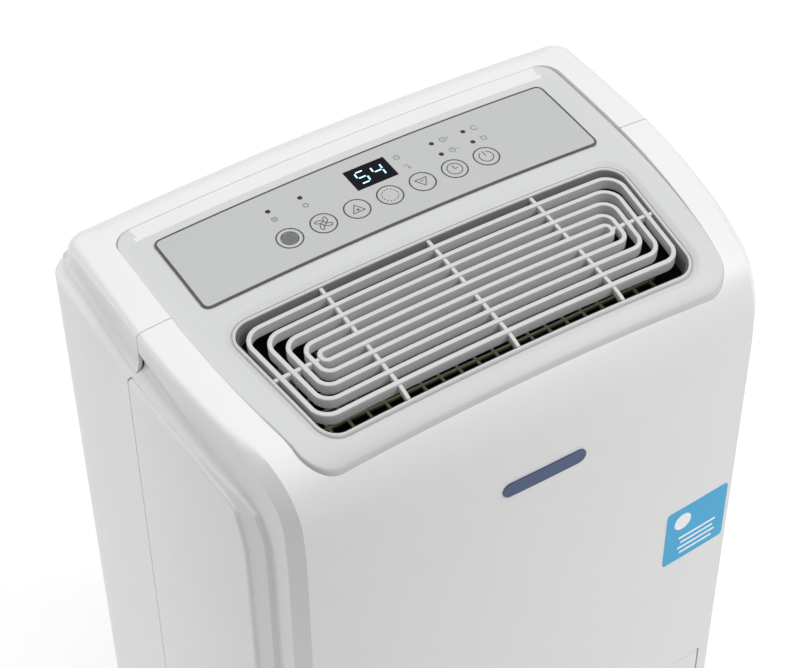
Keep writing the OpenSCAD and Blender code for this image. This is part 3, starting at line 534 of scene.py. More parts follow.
def edgeStrip(line, inward, normal, profile):
    # a profile carried along a line: each step goes inwards and down by the profile's pair
    steps = np.array(profile)
    return line[:, None, :] + steps[None, :, :1] * inward[:, None, :] + steps[None, :, 1:] * normal[:, None, :]


bodyMiddle = (0, 0, 300)
windowLip = [(0, 0), (0.25, -0.06), (0.5, -0.3), (0.6, -0.75), (0.6, -6.0)]


def makeFrontCover():
    f = frontCover
    seamS = cover["seamGap"] / 2
    front, radius = cover["windowFront"], cover["windowRadius"]
    startX = bandHalf(front + radius, cover["windowHalf"]) - radius
    keep = 14  # column that meets the start of the window's corner
    sWindow = float(lengthAt(0.0, front))
    sBottom = path["s"][-1]
    sFace = sBottom - (path["faceTop"] - body["skirt"])

    def lengthOfZ(z):
        return sFace + (path["faceTop"] - z)

    # rows up the flat front, then round the brow to the window's front edge
    heights = [body["skirt"], f["bucketLow"], 100, 160, 200, f["bucketHigh"], 300, 380, 440, 480]
    heights.append(path["faceTop"])
    rows = np.r_[[lengthOfZ(z) for z in heights], np.linspace(sFace, sWindow, 34)[1:]]
    edgeX = bandEdge(rows)[0]
    bucketShare = f["bucketHalf"] / edgeX[0]
    windowShare = startX / edgeX[-1]
    share = np.r_[
        np.linspace(0, windowShare, keep + 1),
        np.linspace(windowShare, bucketShare, 6)[1:],
        np.linspace(bucketShare, 1, 4)[1:],
    ]
    x = share[None, :] * edgeX[:, None]
    bend = lengthAt(np.minimum(x[-1], startX), front) - sWindow
    near = smooth(1 - (rows - sWindow) / f["bendRun"])[:, None]
    bent = rows[:, None] + bend[None, :] * near
    sides = rows + bend[-1] * near[:, 0]
    low = np.concatenate([lift(x, bent, 0.0)[:, :-1], frontSection(sides)], 1)

    # rows beside the window, from its front corner back to the seam
    corner = front + radius * (1 - np.cos(np.radians(np.linspace(0, 90, 12))))
    beside = np.r_[corner, np.linspace(corner[-1], body["seam"] - seamS, 18)[1:]]
    half = windowHalf(beside)
    half[0] = startX
    sBeside = lengthAt(half, beside)
    sBeside[0], sBeside[-1] = sides[-1], seamS
    upperEdge = bandEdge(sBeside)[0]
    shareUp = (share[keep:] - share[keep]) / (1 - share[keep])
    xUp = half[:, None] + shareUp[None, :] * (upperEdge - half)[:, None]
    high = lift(xUp, sBeside[:, None] + 0 * xUp, 0.0)
    high = np.concatenate([high[:, :-1], frontSection(sBeside)], 1)

    # the cheek's side
    rim = np.concatenate([low[:, -1], high[1:, -1]])
    side = sideFill(rim, body["seam"] - seamS)

    # lip round the window
    along = np.concatenate([high[::-1, 0], low[-1, keep - 1 :: -1]])
    tangent = unit(np.gradient(along, axis=0))
    aim = onSide(np.r_[sBeside[::-1], bent[-1, keep - 1 :: -1]])[2]
    normal = np.stack([0 * aim, -np.sin(aim), np.cos(aim)], -1)
    inward = unit(np.cross(tangent, normal))
    middle = np.array([0, 0, along[:, 2].mean()])
    inward *= np.sign(np.sum(inward * (middle - along), -1))[:, None]
    inward[-1] = [0, math.cos(aim[-1]), math.sin(aim[-1])]
    lip = edgeStrip(along, inward, normal, windowLip)

    # the bucket's opening is left out
    faces = gridFaces(*low.shape[:2])
    mid = low.reshape(-1, 3)[faces].mean(1)
    opening = (mid[:, 0] < f["bucketHalf"]) & (mid[:, 2] > f["bucketLow"]) & (mid[:, 2] < f["bucketHigh"])
    opening &= mid[:, 1] < body["front"] + 8
    blocks = [
        (low, faces[~opening]),
        (high, gridFaces(*high.shape[:2])),
        (side, gridFaces(*side.shape[:2])),
        (lip, gridFaces(*lip.shape[:2])),
    ]
    piece = makeMesh("frontCover", blocks, bodyMiddle, body["wall"], 32, mirrorX=True)
    return finishPiece(piece, "cabinet", [paint["coverWhite"]], ["front_shell"])


makeFrontCover()
print("front cover made")

# rear cover
rearCover = {
    "depth": (38.2, 27.5),  # of the cheek's ledge under the top, at the seam and at the rear corner
    "backDrop": 4,  # added to that depth across the back
    "deckEnd": 101.0,  # the top stays level behind this y
    "edge": (4.2, 7.0, 18.0),  # rounding of the band's edge at the seam, the rear corner and the back
    "fillet": (15.0, 7.0),  # height and width of the hollow between ledge and wall
    "corner": (2.2, 2.2),
    "cheekRadius": 22,
    "widenRun": 70,  # the cheeks reach their full width in this length behind the seam
    "bandRadius": 20,
    "acrossBack": (158, 143, 128, 110, 88, 66, 44, 22, 0),  # x of the columns along the back
    "intakeHalf": 128,
    "intakeLow": 268,
    "intakeHigh": 554,
}


def makeRearCover():
    r = rearCover
    seamY = body["seam"] + cover["seamGap"] / 2
    rear = body["rear"]
    cheek, band = body["half"], cover["bandHalf"]
    run = np.linspace(0, 1, 15)
    turn = np.radians(np.linspace(0, 90, 13))[1:]
    rearX = np.array(r["acrossBack"])

    def deckZ(x, y):
        return topZ(x, np.minimum(y, r["deckEnd"]))

    def outline(half, radius):
        # the side, the corner and the rear wall as one line of points with its outward normals
        y = mix(seamY, rear - radius, run)
        side = np.stack([np.full_like(y, half), y], -1)
        bendLine = np.stack([half - radius + radius * np.cos(turn), rear - radius + radius * np.sin(turn)], -1)
        back = np.stack([rearX, np.full(len(rearX), rear)], -1)
        return np.concatenate([side, bendLine, back])

    normal = np.concatenate([
        np.tile([1.0, 0.0], (len(run), 1)),
        np.stack([np.cos(turn), np.sin(turn)], -1),
        np.tile([0.0, 1.0], (len(rearX), 1)),
    ])
    outerLine, bandLine = outline(cheek, r["cheekRadius"]), outline(band, r["bandRadius"])
    behind = outerLine[: len(run), 1] - body["seam"]
    outerLine[: len(run), 0] -= (cheek - cover["cheekHalf"]) * (1 - smooth(behind / r["widenRun"]))
    count = len(outerLine)
    back = np.r_[np.zeros(len(run)), np.linspace(0, 1, 13)[1:], np.ones(len(rearX))]
    along = np.r_[run, np.ones(count - len(run))]
    merged = np.r_[np.zeros(count - len(rearX)), np.ones(len(rearX))]
    outerLine = mix(outerLine, bandLine, merged[:, None])

    # window: side, back corner, back edge
    wr = cover["windowBackRadius"]
    wy = mix(seamY, cover["windowBack"] - wr, run)
    windowSide = np.stack([bandHalf(wy, cover["windowHalf"]), wy], -1)
    cornerX, cornerY = cover["windowHalf"] - wr, cover["windowBack"] - wr
    windowTurn = np.stack([cornerX + wr * np.cos(turn), cornerY + wr * np.sin(turn)], -1)
    backX = rearX * cornerX / (band - r["bandRadius"])
    windowRear = np.stack([backX, np.full(len(rearX), cover["windowBack"])], -1)
    window = np.concatenate([windowSide, windowTurn, windowRear])

    shrink = np.sqrt(np.clip(1 - back, 0, 1))
    depth = mix(*r["depth"], smooth(along)) + r["backDrop"] * merged
    ledgeZ = deckZ(0.0, outerLine[:, 1]) - depth
    rx, rn = r["corner"][0] * shrink, r["corner"][1] * shrink
    edgeWidth = np.where(back > 0, mix(*r["edge"][1:], smooth(back)), mix(*r["edge"][:2], along))
    edgeLine = bandLine - normal * edgeWidth[:, None]
    edgeZ = deckZ(*edgeLine.T)

    def ring(plan, z):
        return np.concatenate([plan, (z + np.zeros(count))[:, None]], 1)

    rings = []
    lowZ = [body["skirt"], 100, 180, r["intakeLow"], 340, 420, 500, r["intakeHigh"]]
    for z in lowZ:
        rings.append(ring(outerLine, np.minimum(z, ledgeZ - rn - 0.5)))
    for q in np.linspace(0, math.pi / 2, 7):
        plan = outerLine - normal * (rx * (1 - math.cos(q)))[:, None]
        rings.append(ring(plan, ledgeZ - rn * (1 - math.sin(q))))
    startLine = outerLine - normal * rx[:, None]
    filletH, filletW = r["fillet"][0] * shrink, r["fillet"][1] * shrink * mix(0.8, 1.0, along)
    room = np.linalg.norm(startLine - bandLine, axis=1) * 0.98
    hollow = bandLine + normal * np.minimum(filletW, room)[:, None]
    for q in (0.5, 1.0):
        rings.append(ring(mix(startLine, hollow, q), ledgeZ))
    topOfHollow = np.minimum(ledgeZ + filletH, edgeZ - edgeWidth - 0.5)
    for q in np.linspace(0, 1, 9)[1:]:
        plan = (1 - q) ** 2 * hollow + (1 - (1 - q) ** 2) * bandLine
        rings.append(ring(plan, mix(ledgeZ, topOfHollow, q * q)))
    wallTop = edgeZ - edgeWidth
    rings.append(ring(bandLine, mix(topOfHollow, wallTop, 0.5)))
    for q in np.linspace(0, math.pi / 2, 9):
        plan = bandLine - normal * (edgeWidth * (1 - math.cos(q)))[:, None]
        rings.append(ring(plan, wallTop + edgeWidth * math.sin(q)))
    for q in np.linspace(0, 1, 8)[1:]:
        plan = mix(edgeLine, window, q)
        rings.append(ring(plan, deckZ(*plan.T)))
    shell = np.stack(rings, 0)
    faces = gridFaces(*shell.shape[:2])
    mid = shell.reshape(-1, 3)[faces].mean(1)
    opening = (mid[:, 0] < r["intakeHalf"]) & (mid[:, 2] > r["intakeLow"]) & (mid[:, 2] < r["intakeHigh"])
    opening &= mid[:, 1] > rear - 1

    line = shell[-1]
    tangent = unit(np.gradient(line, axis=0))
    up = np.tile([0.0, 0.0, 1.0], (count, 1))
    inward = unit(np.cross(tangent, up))
    inward *= np.sign(np.sum(inward * (np.array([0, 40, 0]) - line), -1))[:, None]
    inward[-1] = [0, -1, 0]
    lip = edgeStrip(line, inward, up, windowLip)
    blocks = [(shell, faces[~opening]), (lip, gridFaces(*lip.shape[:2]))]
    piece = makeMesh("rearCover", blocks, bodyMiddle, body["wall"], 32, mirrorX=True)
    return finishPiece(piece, "cabinet", [paint["coverWhite"]], ["rear_shell"])


makeRearCover()
print("rear cover made")

# top panel and air outlet
panel = {
    "half": 160.8,
    "wall": 2.0,
    "rampWide": 9.4,  # polished ramp along the back edge, painted lighter as a highlight
    "front": body["seam"] - 135.0,
    "back": body["seam"] + 78.0,
    "frontRadius": 20,
    "backRadius": 13,
    "outletY": body["seam"] - 71.5,
    "outletHalf": 133.5,
    "outletDeep": 48.3,
    "outletFlare": 0.11,  # the outlet widens backwards by this per millimetre
    "outletRadius": 13,
    "filmRecess": 2.0,
}
film = {
    "half": 141.3,
    "front": body["seam"] - 5,
    "back": body["seam"] + 61,
    "radius": 5,
    "rise": 0.95,  # of its face over the panel's face
    "rim": 1.5,
    "thick": 0.45,
}

# height of the panel over the covers' surface, from its proud front edge to its back edge
panelHeights = (
    (-117, 2.6), (-101, 1.5), (-85, 0.5), (-60, -0.6), (-40, -1.2), (-10, -2.0), (20, -2.4), (83, -2.4),
    (93, -0.3),
)


def panelRise(y):
    return np.interp(y, *np.array(panelHeights).T)


def panelPoint(x, y, h):
    # a point h above the panel's face
    x, y, h = np.broadcast_arrays(*(np.asarray(v, float) for v in (x, y, h)))
    level, a = onSide(lengthOver(y))[1:]
    z = level - cover["crown"] * x * x / np.cos(a) + (panelRise(y) + h) / np.cos(a)
    return np.stack([x, y, z], -1)


def halfLoop(halfAt, front, back, radii, counts=(14, 8, 12, 8, 14)):
    # right half of a rounded outline in plan, from the middle of the front to that of the back, and its normals
    rF, rB = radii
    nF, nC, nS, nD, nB = counts
    yF, yB = front + rF, back - rB
    xF, xB = halfAt(yF) - rF, halfAt(yB) - rB
    t = np.radians(np.linspace(-90, 0, nC + 1))
    u = np.radians(np.linspace(0, 90, nD + 1))
    y = np.linspace(yF, yB, nS + 1)
    parts = [
        np.stack([np.linspace(0, xF, nF + 1)[:-1], np.full(nF, front)], -1),
        np.stack([xF + rF * np.cos(t), yF + rF * np.sin(t)], -1),
        np.stack([halfAt(y), y], -1)[1:-1],
        np.stack([xB + rB * np.cos(u), yB + rB * np.sin(u)], -1),
        np.stack([np.linspace(xB, 0, nB + 1)[1:], np.full(nB, back)], -1),
    ]
    line = np.concatenate(parts)
    run = unit(np.gradient(line, axis=0))
    normal = np.stack([run[:, 1], -run[:, 0]], -1)
    normal[0], normal[-1] = (0, -1), (0, 1)
    return line, normal


def outletHalfAt(half):
    return lambda y: half + panel["outletFlare"] * (y - panel["outletY"])


def swept(line, normal, profile, place=panelPoint):
    # a closed profile of (outwards, up) pairs carried along a line in plan
    steps = np.array(profile)
    plan = line[:, None, :] + normal[:, None, :] * steps[None, :, :1]
    return place(plan[..., 0], plan[..., 1], steps[None, :, 1])


def makePanel():
    p = panel
    outletEnds = p["outletY"] - p["outletDeep"], p["outletY"] + p["outletDeep"]
    rim, rimOut = halfLoop(outletHalfAt(p["outletHalf"]), *outletEnds, (p["outletRadius"],) * 2)
    radii = p["frontRadius"], p["backRadius"]
    edge, edgeOut = halfLoop(lambda y: bandHalf(y, p["half"]), p["front"], p["back"], radii)
    # a bead round the opening, a groove outside it and a dished border
    border = [
        (-0.2, -2.9), (0, -2.3), (0.3, -1.6), (1.0, -1.35), (1.7, -1.6), (2.0, -2.2), (2.1, -3.2),
        (2.9, -3.2), (3.0, -2.2), (3.3, -1.9), (6.3, -0.35), (6.9, -0.02), (7.6, 0.0),
    ]
    inner = swept(rim, rimOut, border)
    q = np.linspace(0, 1, 31)[None, 1:, None]
    start = rim + rimOut * border[-1][0]
    end = edge - edgeOut * 1.0
    plan = mix(start[:, None, :], end[:, None, :], q)
    x, y = plan[..., 0], plan[..., 1]
    # the field dips under the film, from 1 mm inside its edge and fully 4 mm further in
    under = smooth((film["half"] - 1 - x) / 4)
    under = under * smooth((y - film["front"] - 1) / 4) * smooth((film["back"] - 1 - y) / 4)
    field = panelPoint(x, y, -p["filmRecess"] * under)
    rimProfile = [(-0.6, -0.08), (-0.25, -0.35), (0, -1.0), (0, -4.5)]
    outer = swept(edge, edgeOut, rimProfile)
    shell = np.concatenate([inner, field, outer], 1)
    piece = makeMesh("topPanel", [(shell, gridFaces(*shell.shape[:2]))], None, 0, 32, mirrorX=True)
    faceUp(piece)
    piece.data.materials.append(paint["panelGrey"])
    piece.data.materials.append(paint["rampPaintedHighlight"])
    middles = faceFacts(piece.data)[0] / mm
    # painted highlight: faces on the back ramp take the lighter grey
    ramp = (middles[:, 1] > p["back"] - p["rampWide"]) & (np.abs(middles[:, 0]) < p["half"] - p["backRadius"])
    piece.data.polygons.foreach_set("material_index", ramp.astype(np.int32))
    addWall(piece, p["wall"])
    shade(piece, 32)
    # painted shade: a mid grey collar down the outlet's inner wall stands in for the shadow there
    collar = [(-0.35, -1.9), (-0.35, -15), (-1.6, -15), (-1.6, -4)]
    ring = swept(rim, rimOut, collar)
    duct = makeMesh("outletCollar", [(ring, gridFaces(*ring.shape[:2], wrap=True))], None, 0, 32, mirrorX=True)
    finishPiece(duct, "cabinet", [paint["collarPaintedShade"]])
    return finishPiece(piece, "cabinet", [], ["top_panel"])


def faceUp(piece):
    # turns the whole surface over if it faces down
    normals, areas = faceFacts(piece.data)[1:]
    if (normals[:, 2] * areas).sum() < 0:
        piece.data.flip_normals()


makePanel()
print("panel made")

# outlet grille: five closed rings with ribs between them
grille = {
    "middle": body["seam"] - 69.5,
    "deep": (38.65, 29.4, 20.7, 12.2, 4.1),
    "half": (129.2, 121.2, 114.2, 107.2, 102.2),
    "radius": (11.5, 10.5, 9.0, 7.0, 3.6),
    "blade": (3.0, 7.2),
    "sink": 1.2,
    "ribX": (0.0, 75.0),
    "rib": (2.6, 4.6),
    "ribSink": 2.2,
}


def bladeProfile(width, deep, sink):
    # closed section of a blade with a rounded top
    w = width / 2
    right = [(w * 0.7, -sink - 0.06), (w * 0.93, -sink - 0.3), (w, -sink - 0.8), (w * 0.75, -sink - deep)]
    return [(-x, z) for x, z in right[::-1]] + [(0, -sink)] + right


def makeGrille():
    g = grille
    cy, rimY = g["middle"], panel["outletY"]
    width, deep = g["blade"]
    points, faces, count = [], [], 0

    def add(grid, caps=False):
        nonlocal count
        cols = grid.shape[1]
        quads = gridFaces(*grid.shape[:2], wrap=True)
        points.append(grid.reshape(-1, 3))
        faces.extend((quads + count).tolist())
        if caps:
            total = grid.shape[0] * cols
            faces.append([count + k for k in range(cols)])
            faces.append([count + total - cols + k for k in range(cols)][::-1])
        count += grid.reshape(-1, 3).shape[0]

    for d, half, r in zip(g["deep"], g["half"], g["radius"]):
        line, out = halfLoop(outletHalfAt(half), cy - d, cy + d, (r, r), (20, 6, 10, 6, 20))
        for sign in (1, -1):
            add(swept(line, out, bladeProfile(width, deep, g["sink"])) * [sign, 1, 1])
    ribWide, ribDeep = g["rib"]
    profile = bladeProfile(ribWide, ribDeep, g["ribSink"])
    inner = g["deep"][-1]
    for x in sorted({s * v for v in g["ribX"] for s in (-1, 1)}):
        for sign in (-1, 1):
            outer = rimY + sign * (panel["outletDeep"] + 0.5)
            line = np.stack([np.full(16, x), np.linspace(cy + sign * inner, outer, 16)], -1)
            add(swept(line, np.tile([1.0, 0.0], (16, 1)), profile), True)
    for sign in (-1, 1):
        line = np.stack([sign * np.linspace(g["half"][-1], panel["outletHalf"] + 0.5, 16), np.full(16, cy)], -1)
        add(swept(line, np.tile([0.0, 1.0], (16, 1)), profile), True)
    mesh = bpy.data.meshes.new("outletGrille")
    mesh.from_pydata((np.concatenate(points) * mm).tolist(), [], faces)
    cleanMesh(mesh, weldGap)
    piece = addPiece("outletGrille", mesh)
    shade(piece, 40)
    return finishPiece(piece, "cabinet", [paint["panelGrey"]], ["outlet_grille"])


makeGrille()
print("grille made")

# control film, keys, window, lamps and their printed signs
control = {
    "keyY": body["seam"] + 18.1,
    "keyRadius": 8.4,
    "holeRadius": 8.7,
    "pitch": 23.6,
    "keyThick": 0.4,
    "window": (14.6, 46.2, 64.9),  # half width, and y of its front and back
    "lamps": ((-70.5, 59.8), (-48, 59.8), (47.5, 59.9), (47.4, 48.5), (71.1, 59.9), (71.1, 48.6)),
    "lampRadius": 1.5,
}


def filmPoint(x, y, h):
    return panelPoint(x, y, film["rise"] + h)


def discPiece(name, cx, cy, radius, top, thick, rings=6, count=48, bevel=0.25):
    # a thin round plate that follows the panel
    turn = np.linspace(0, 2 * math.pi, count, endpoint=False)
    steps = [(0.001, top)] + [(radius * (k + 1) / rings, top) for k in range(rings - 1)]
    steps += [(radius - bevel, top), (radius - bevel * 0.3, top - bevel * 0.3), (radius, top - bevel)]
    steps = np.array(steps + [(radius, top - thick), (0.001, top - thick)])
    x = cx + np.cos(turn)[:, None] * steps[None, :, 0]
    y = cy + np.sin(turn)[:, None] * steps[None, :, 0]
    grid = filmPoint(x, y, steps[None, :, 1] + 0 * x)
    wrapped = np.concatenate([grid, grid[:1]])
    return makeMesh(name, [(wrapped, gridFaces(*wrapped.shape[:2]))], grid.reshape(-1, 3).mean(0), 0, 30)


def strokeBlocks(lines, width, top=0.06, deep=0.3):
    # thin raised strokes: each line of points in plan becomes a narrow plate, closed all round
    blocks = []
    for line in lines:
        line = np.asarray(line, float)
        run = unit(np.gradient(line, axis=0))
        side = np.stack([-run[:, 1], run[:, 0]], -1)
        w = width / 2
        profile = [(-w, -deep), (-w, top), (w, top), (w, -deep)]
        grid = swept(line, side, profile, filmPoint)
        faces = gridFaces(len(line), len(profile), wrap=True).tolist()
        last = (len(line) - 1) * len(profile)
        faces += [[0, 1, 2, 3], [last + 3, last + 2, last + 1, last]]
        blocks.append((grid.reshape(-1, 3), np.array(faces)))
    return blocks


def arc(cx, cy, radius, start, end, count=20):
    t = np.radians(np.linspace(start, end, count))
    return np.stack([cx + radius * np.cos(t), cy + radius * np.sin(t)], -1)


def polyline(points, step=0.6):
    # straight runs cut into short steps, so that they follow the panel
    points = np.asarray(points, float)
    out = [points[:1]]
    for a, b in zip(points[:-1], points[1:]):
        n = max(2, int(np.linalg.norm(b - a) / step))
        out.append(a + (b - a) * np.linspace(0, 1, n + 1)[1:, None])
    return np.concatenate(out)


def inkPiece(name, lines, width, bodyName, material, stands=(), top=0.06, deep=0.3):
    piece = makeMesh(name, strokeBlocks(lines, width, top, deep), None, 0, 30, weld=False)
    return finishPiece(piece, bodyName, [material], stands)


def makeFilm():
    c = control
    ends, radii = (film["front"], film["back"]), (film["radius"],) * 2
    line, out = halfLoop(lambda y: film["half"] + 0 * y, *ends, radii, (60, 6, 24, 6, 60))
    profile = [(0, -0.5), (0, -0.12), (-0.1, 0.0), (-film["rim"], 0.0), (-film["rim"], -0.5)]
    border = swept(line, out, profile, filmPoint)
    rim = makeMesh("filmBorder", [(border, gridFaces(*border.shape[:2], wrap=True))], None, 0, 30, mirrorX=True)
    finishPiece(rim, "cabinet", [paint["filmInk"]])
    xs = np.linspace(-film["half"] + film["rim"], film["half"] - film["rim"], 150)
    ys = np.linspace(film["front"] + film["rim"], film["back"] - film["rim"], 50)
    x, y = np.meshgrid(xs, ys, indexing="ij")
    # the grid's corners are drawn in to the rounded border
    r = film["radius"] - film["rim"]
    midY, halfY = (ys[0] + ys[-1]) / 2, (ys[-1] - ys[0]) / 2
    dx = np.clip(np.abs(x) - (xs[-1] - r), 0, None)
    dy = np.clip(np.abs(y - midY) - (halfY - r), 0, None)
    pull = np.maximum(dx, dy) / np.maximum(np.hypot(dx, dy), 1e-9)
    both = (dx > 0) & (dy > 0)
    x = np.where(both, np.sign(x) * (xs[-1] - r + dx * pull), x)
    y = np.where(both, midY + np.sign(y - midY) * (halfY - r + dy * pull), y)
    sheet = filmPoint(x, y, 0.0)
    piece = makeMesh("controlFilm", [(sheet, gridFaces(*sheet.shape[:2]))], None, 0, 30)
    faceUp(piece)
    addWall(piece, film["thick"])
    shade(piece, 30)
    cutters = []
    holes = [(k * c["pitch"], c["keyY"], c["holeRadius"]) for k in range(-3, 4)]
    holes += [(lx, ly, c["lampRadius"] + 0.15) for lx, ly in c["lamps"]]
    for hx, hy, hr in holes:
        at = [hx * mm, hy * mm, float(filmPoint(hx, hy, 0.0)[2]) * mm]
        bpy.ops.mesh.primitive_cylinder_add(vertices=64, radius=hr * mm, depth=10 * mm, location=at)
        cutters.append(bpy.context.active_object)
    wx, w0, w1 = c["window"]
    at = [0, (w0 + w1) / 2 * mm, float(filmPoint(0, (w0 + w1) / 2, 0.0)[2]) * mm]
    size = [(2 * wx + 0.3) * mm, (w1 - w0 + 0.3) * mm, 10 * mm]
    bpy.ops.mesh.primitive_cube_add(size=1, location=at, scale=size)
    cutters.append(bpy.context.active_object)
    chosen = {"active_object": cutters[0], "selected_editable_objects": cutters, "selected_objects": cutters}
    with bpy.context.temp_override(**chosen):
        bpy.ops.object.join()
    cut = piece.modifiers.new("cut", "BOOLEAN")
    cut.operation, cut.object, cut.solver = "DIFFERENCE", cutters[0], "EXACT"
    applyModifiers(piece)
    bpy.data.objects.remove(cutters[0])
    shade(piece, 30)
    finishPiece(piece, "cabinet", [paint["filmGrey"]], ["control_membrane"])


makeFilm()


def keySign(kind, cx, cy):
    # strokes of each key's sign, about its middle
    def line(*points):
        return polyline([(cx + px, cy + py) for px, py in points])

    if kind == "filter":
        across = [(k, math.sqrt(5.4**2 - k * k)) for k in (-3.9, -2.6, -1.3, 0, 1.3, 2.6, 3.9)]
        level = [line((-w, k), (w, k)) for k, w in across]
        return level + [line((k, -w), (k, w)) for k, w in across] + [arc(cx, cy, 5.4, 0, 360, 36)]
    if kind == "fan":
        loops = []
        for turn in np.radians((45, 135, 225, 315)):
            ring = arc(0, 0, 1, 0, 360, 24) * (2.5, 1.25)
            lean = turn + 0.55
            spin = np.array([[math.cos(lean), math.sin(lean)], [-math.sin(lean), math.cos(lean)]])
            loops.append(ring @ spin + (cx + 3.2 * math.cos(turn), cy + 3.2 * math.sin(turn)))
        return loops
    if kind == "up":
        arrow = line((-4.2, -2.8), (0, 3.8), (4.2, -2.8), (-4.2, -2.8))
        return [arrow, line((-1.2, -0.9), (1.2, -0.9)), line((0, -2.1), (0, 0.3))]
    if kind == "mode":
        return [arc(cx, cy, 5.2, a, a + 12, 4) for a in range(0, 360, 24)]
    if kind == "down":
        return [line((-4.2, 2.8), (0, -3.8), (4.2, 2.8), (-4.2, 2.8)), line((-1.2, 0.9), (1.2, 0.9))]
    if kind == "timer":
        return [arc(cx, cy, 4.9, 0, 360, 36), line((0, 3.2), (0, 0), (2.6, 0))]
    if kind == "power":
        return [arc(cx, cy, 4.6, 115, 425, 32), line((0, 0.8), (0, 5.2))]
    quarters = [(math.radians(a), a) for a in (45, 135, 225, 315)]
    return [arc(cx + 0.9 * math.cos(t), cy + 0.9 * math.sin(t), 0.9, a - 100, a + 120, 10) for t, a in quarters]


for k, kind in enumerate(("filter", "fan", "up", "mode", "down", "timer", "power")):
    x, y, node = (k - 3) * control["pitch"], control["keyY"], kind + "_key"
    key = discPiece(kind + "Key", x, y, control["keyRadius"], 0.0, control["keyThick"])
    finishPiece(key, node, [paint["filmGrey"]], [node])
    sign = keySign(kind, x, y) + [arc(x, y, 8.05, 0, 360, 60)]
    inkPiece(kind + "Sign", sign, 0.62, node, paint["filmInk"])
print("film and keys made")


def makeWindow():
    wx, w0, w1 = control["window"]
    steps = [(-wx, -1.5), (-wx, -0.2), (-wx + 0.25, 0.0)] + [(v, 0.0) for v in np.linspace(-wx + 1, wx - 1, 16)]
    steps += [(wx - 0.25, 0.0), (wx, -0.2), (wx, -1.5)]
    ys = np.linspace(w0, w1, 14)
    steps = np.array(steps)
    x, y = np.broadcast_arrays(steps[None, :, 0], ys[:, None])
    grid = filmPoint(x, y, steps[None, :, 1] + 0 * x)
    cols = grid.shape[1]
    faces = gridFaces(*grid.shape[:2], wrap=True).tolist()
    mesh = bpy.data.meshes.new("displayWindow")
    last = (len(ys) - 1) * cols
    faces += [list(range(cols)), list(range(last + cols - 1, last - 1, -1))]
    mesh.from_pydata((grid.reshape(-1, 3) * mm).tolist(), [], faces)
    cleanMesh(mesh)
    piece = addPiece("displayWindow", mesh)
    shade(piece, 30)
    finishPiece(piece, "cabinet", [paint["windowBlack"]], ["display_window"])
    # two seven-stroke figures: half width and half height of a figure, its lean, the gap at a stroke's ends
    wide, tall, lean, gap = 3.3, 5.2, 0.08, 0.14
    middle = (w0 + w1) / 2
    spots = {"a": ((-1, 2), (1, 2)), "b": ((1, 2), (1, 0)), "c": ((1, 0), (1, -2)), "d": ((-1, -2), (1, -2)),
             "e": ((-1, 0), (-1, -2)), "f": ((-1, 2), (-1, 0)), "g": ((-1, 0), (1, 0))}
    lines = []
    for cx, figure in ((-5.9, "afgcd"), (5.5, "fgbc")):
        for part in figure:
            (ax, ay), (bx, by) = spots[part]
            a = np.array([cx + ax * wide, middle + ay * tall / 2])
            b = np.array([cx + bx * wide, middle + by * tall / 2])
            a, b = a + (b - a) * gap, b + (a - b) * gap
            a[0] += lean * (a[1] - middle)
            b[0] += lean * (b[1] - middle)
            lines.append(polyline([a, b]))
    inkPiece("displayFigures", lines, 1.0, "cabinet", paint["figureGlow"], (), 0.04, 0.1)


makeWindow()
lampNames = ("tank", "fanLow", "clock", "tap", "ring", "bucket")
for name, (x, y) in zip(lampNames, control["lamps"]):
    lamp = discPiece(name + "Lamp", x, y, control["lampRadius"], 0.1, 0.8, 3, 24, 0.15)
    finishPiece(lamp, "cabinet", [paint["ledBlack"]], ["indicator_leds"])
# small signs beside the lamps: ring, fan, clocks, open ring, cup, clock and tap
signLines = [
    arc(-70.3, 51.9, 1.9, 0, 360, 20), arc(-70.3, 51.9, 0.8, 0, 360, 12),
    *keySign("smallFan", -48.4, 52.2),
    arc(55.7, 59.8, 2.0, 0, 360, 20), polyline([(55.7, 61.0), (55.7, 59.8), (56.7, 59.8)]),
    polyline([(59.2, 58.4), (59.2, 61.2)]),
    arc(55.6, 48.6, 2.0, 0, 360, 20), polyline([(55.6, 49.8), (55.6, 48.6), (56.6, 48.6)]),
    polyline([(58.6, 48.6), (60.6, 48.6)]),
    arc(79.4, 59.8, 2.0, 20, 340, 20),
    polyline([(77.3, 50.2), (78.0, 46.8), (80.4, 46.8), (81.1, 50.2), (77.3, 50.2)]),
    arc(21.6, 59.9, 1.9, 0, 360, 20), polyline([(21.6, 61.0), (21.6, 59.9), (22.6, 59.9)]),
    polyline([(20.8, 51.0), (23.8, 51.0), (23.8, 49.2)]), arc(23.8, 48.0, 0.7, 0, 360, 10),
]
inkPiece("filmSigns", signLines, 0.38, "cabinet", paint["filmInk"], (), 0.03, 0.2)
print("window and signs made")

# front label: a cyan card with a plain round patch and bars
label = {"x": 130.0, "z": 381.0, "half": (26.0, 25.5), "radius": 3.0}


def frontPoint(x, z, h):
    # a point h in front of the crowned front
    x, z, h = np.broadcast_arrays(*(np.asarray(v, float) for v in (x, z, h)))
    s = np.interp(-z, -path["z"], path["s"])
    return lift(x, s, h)


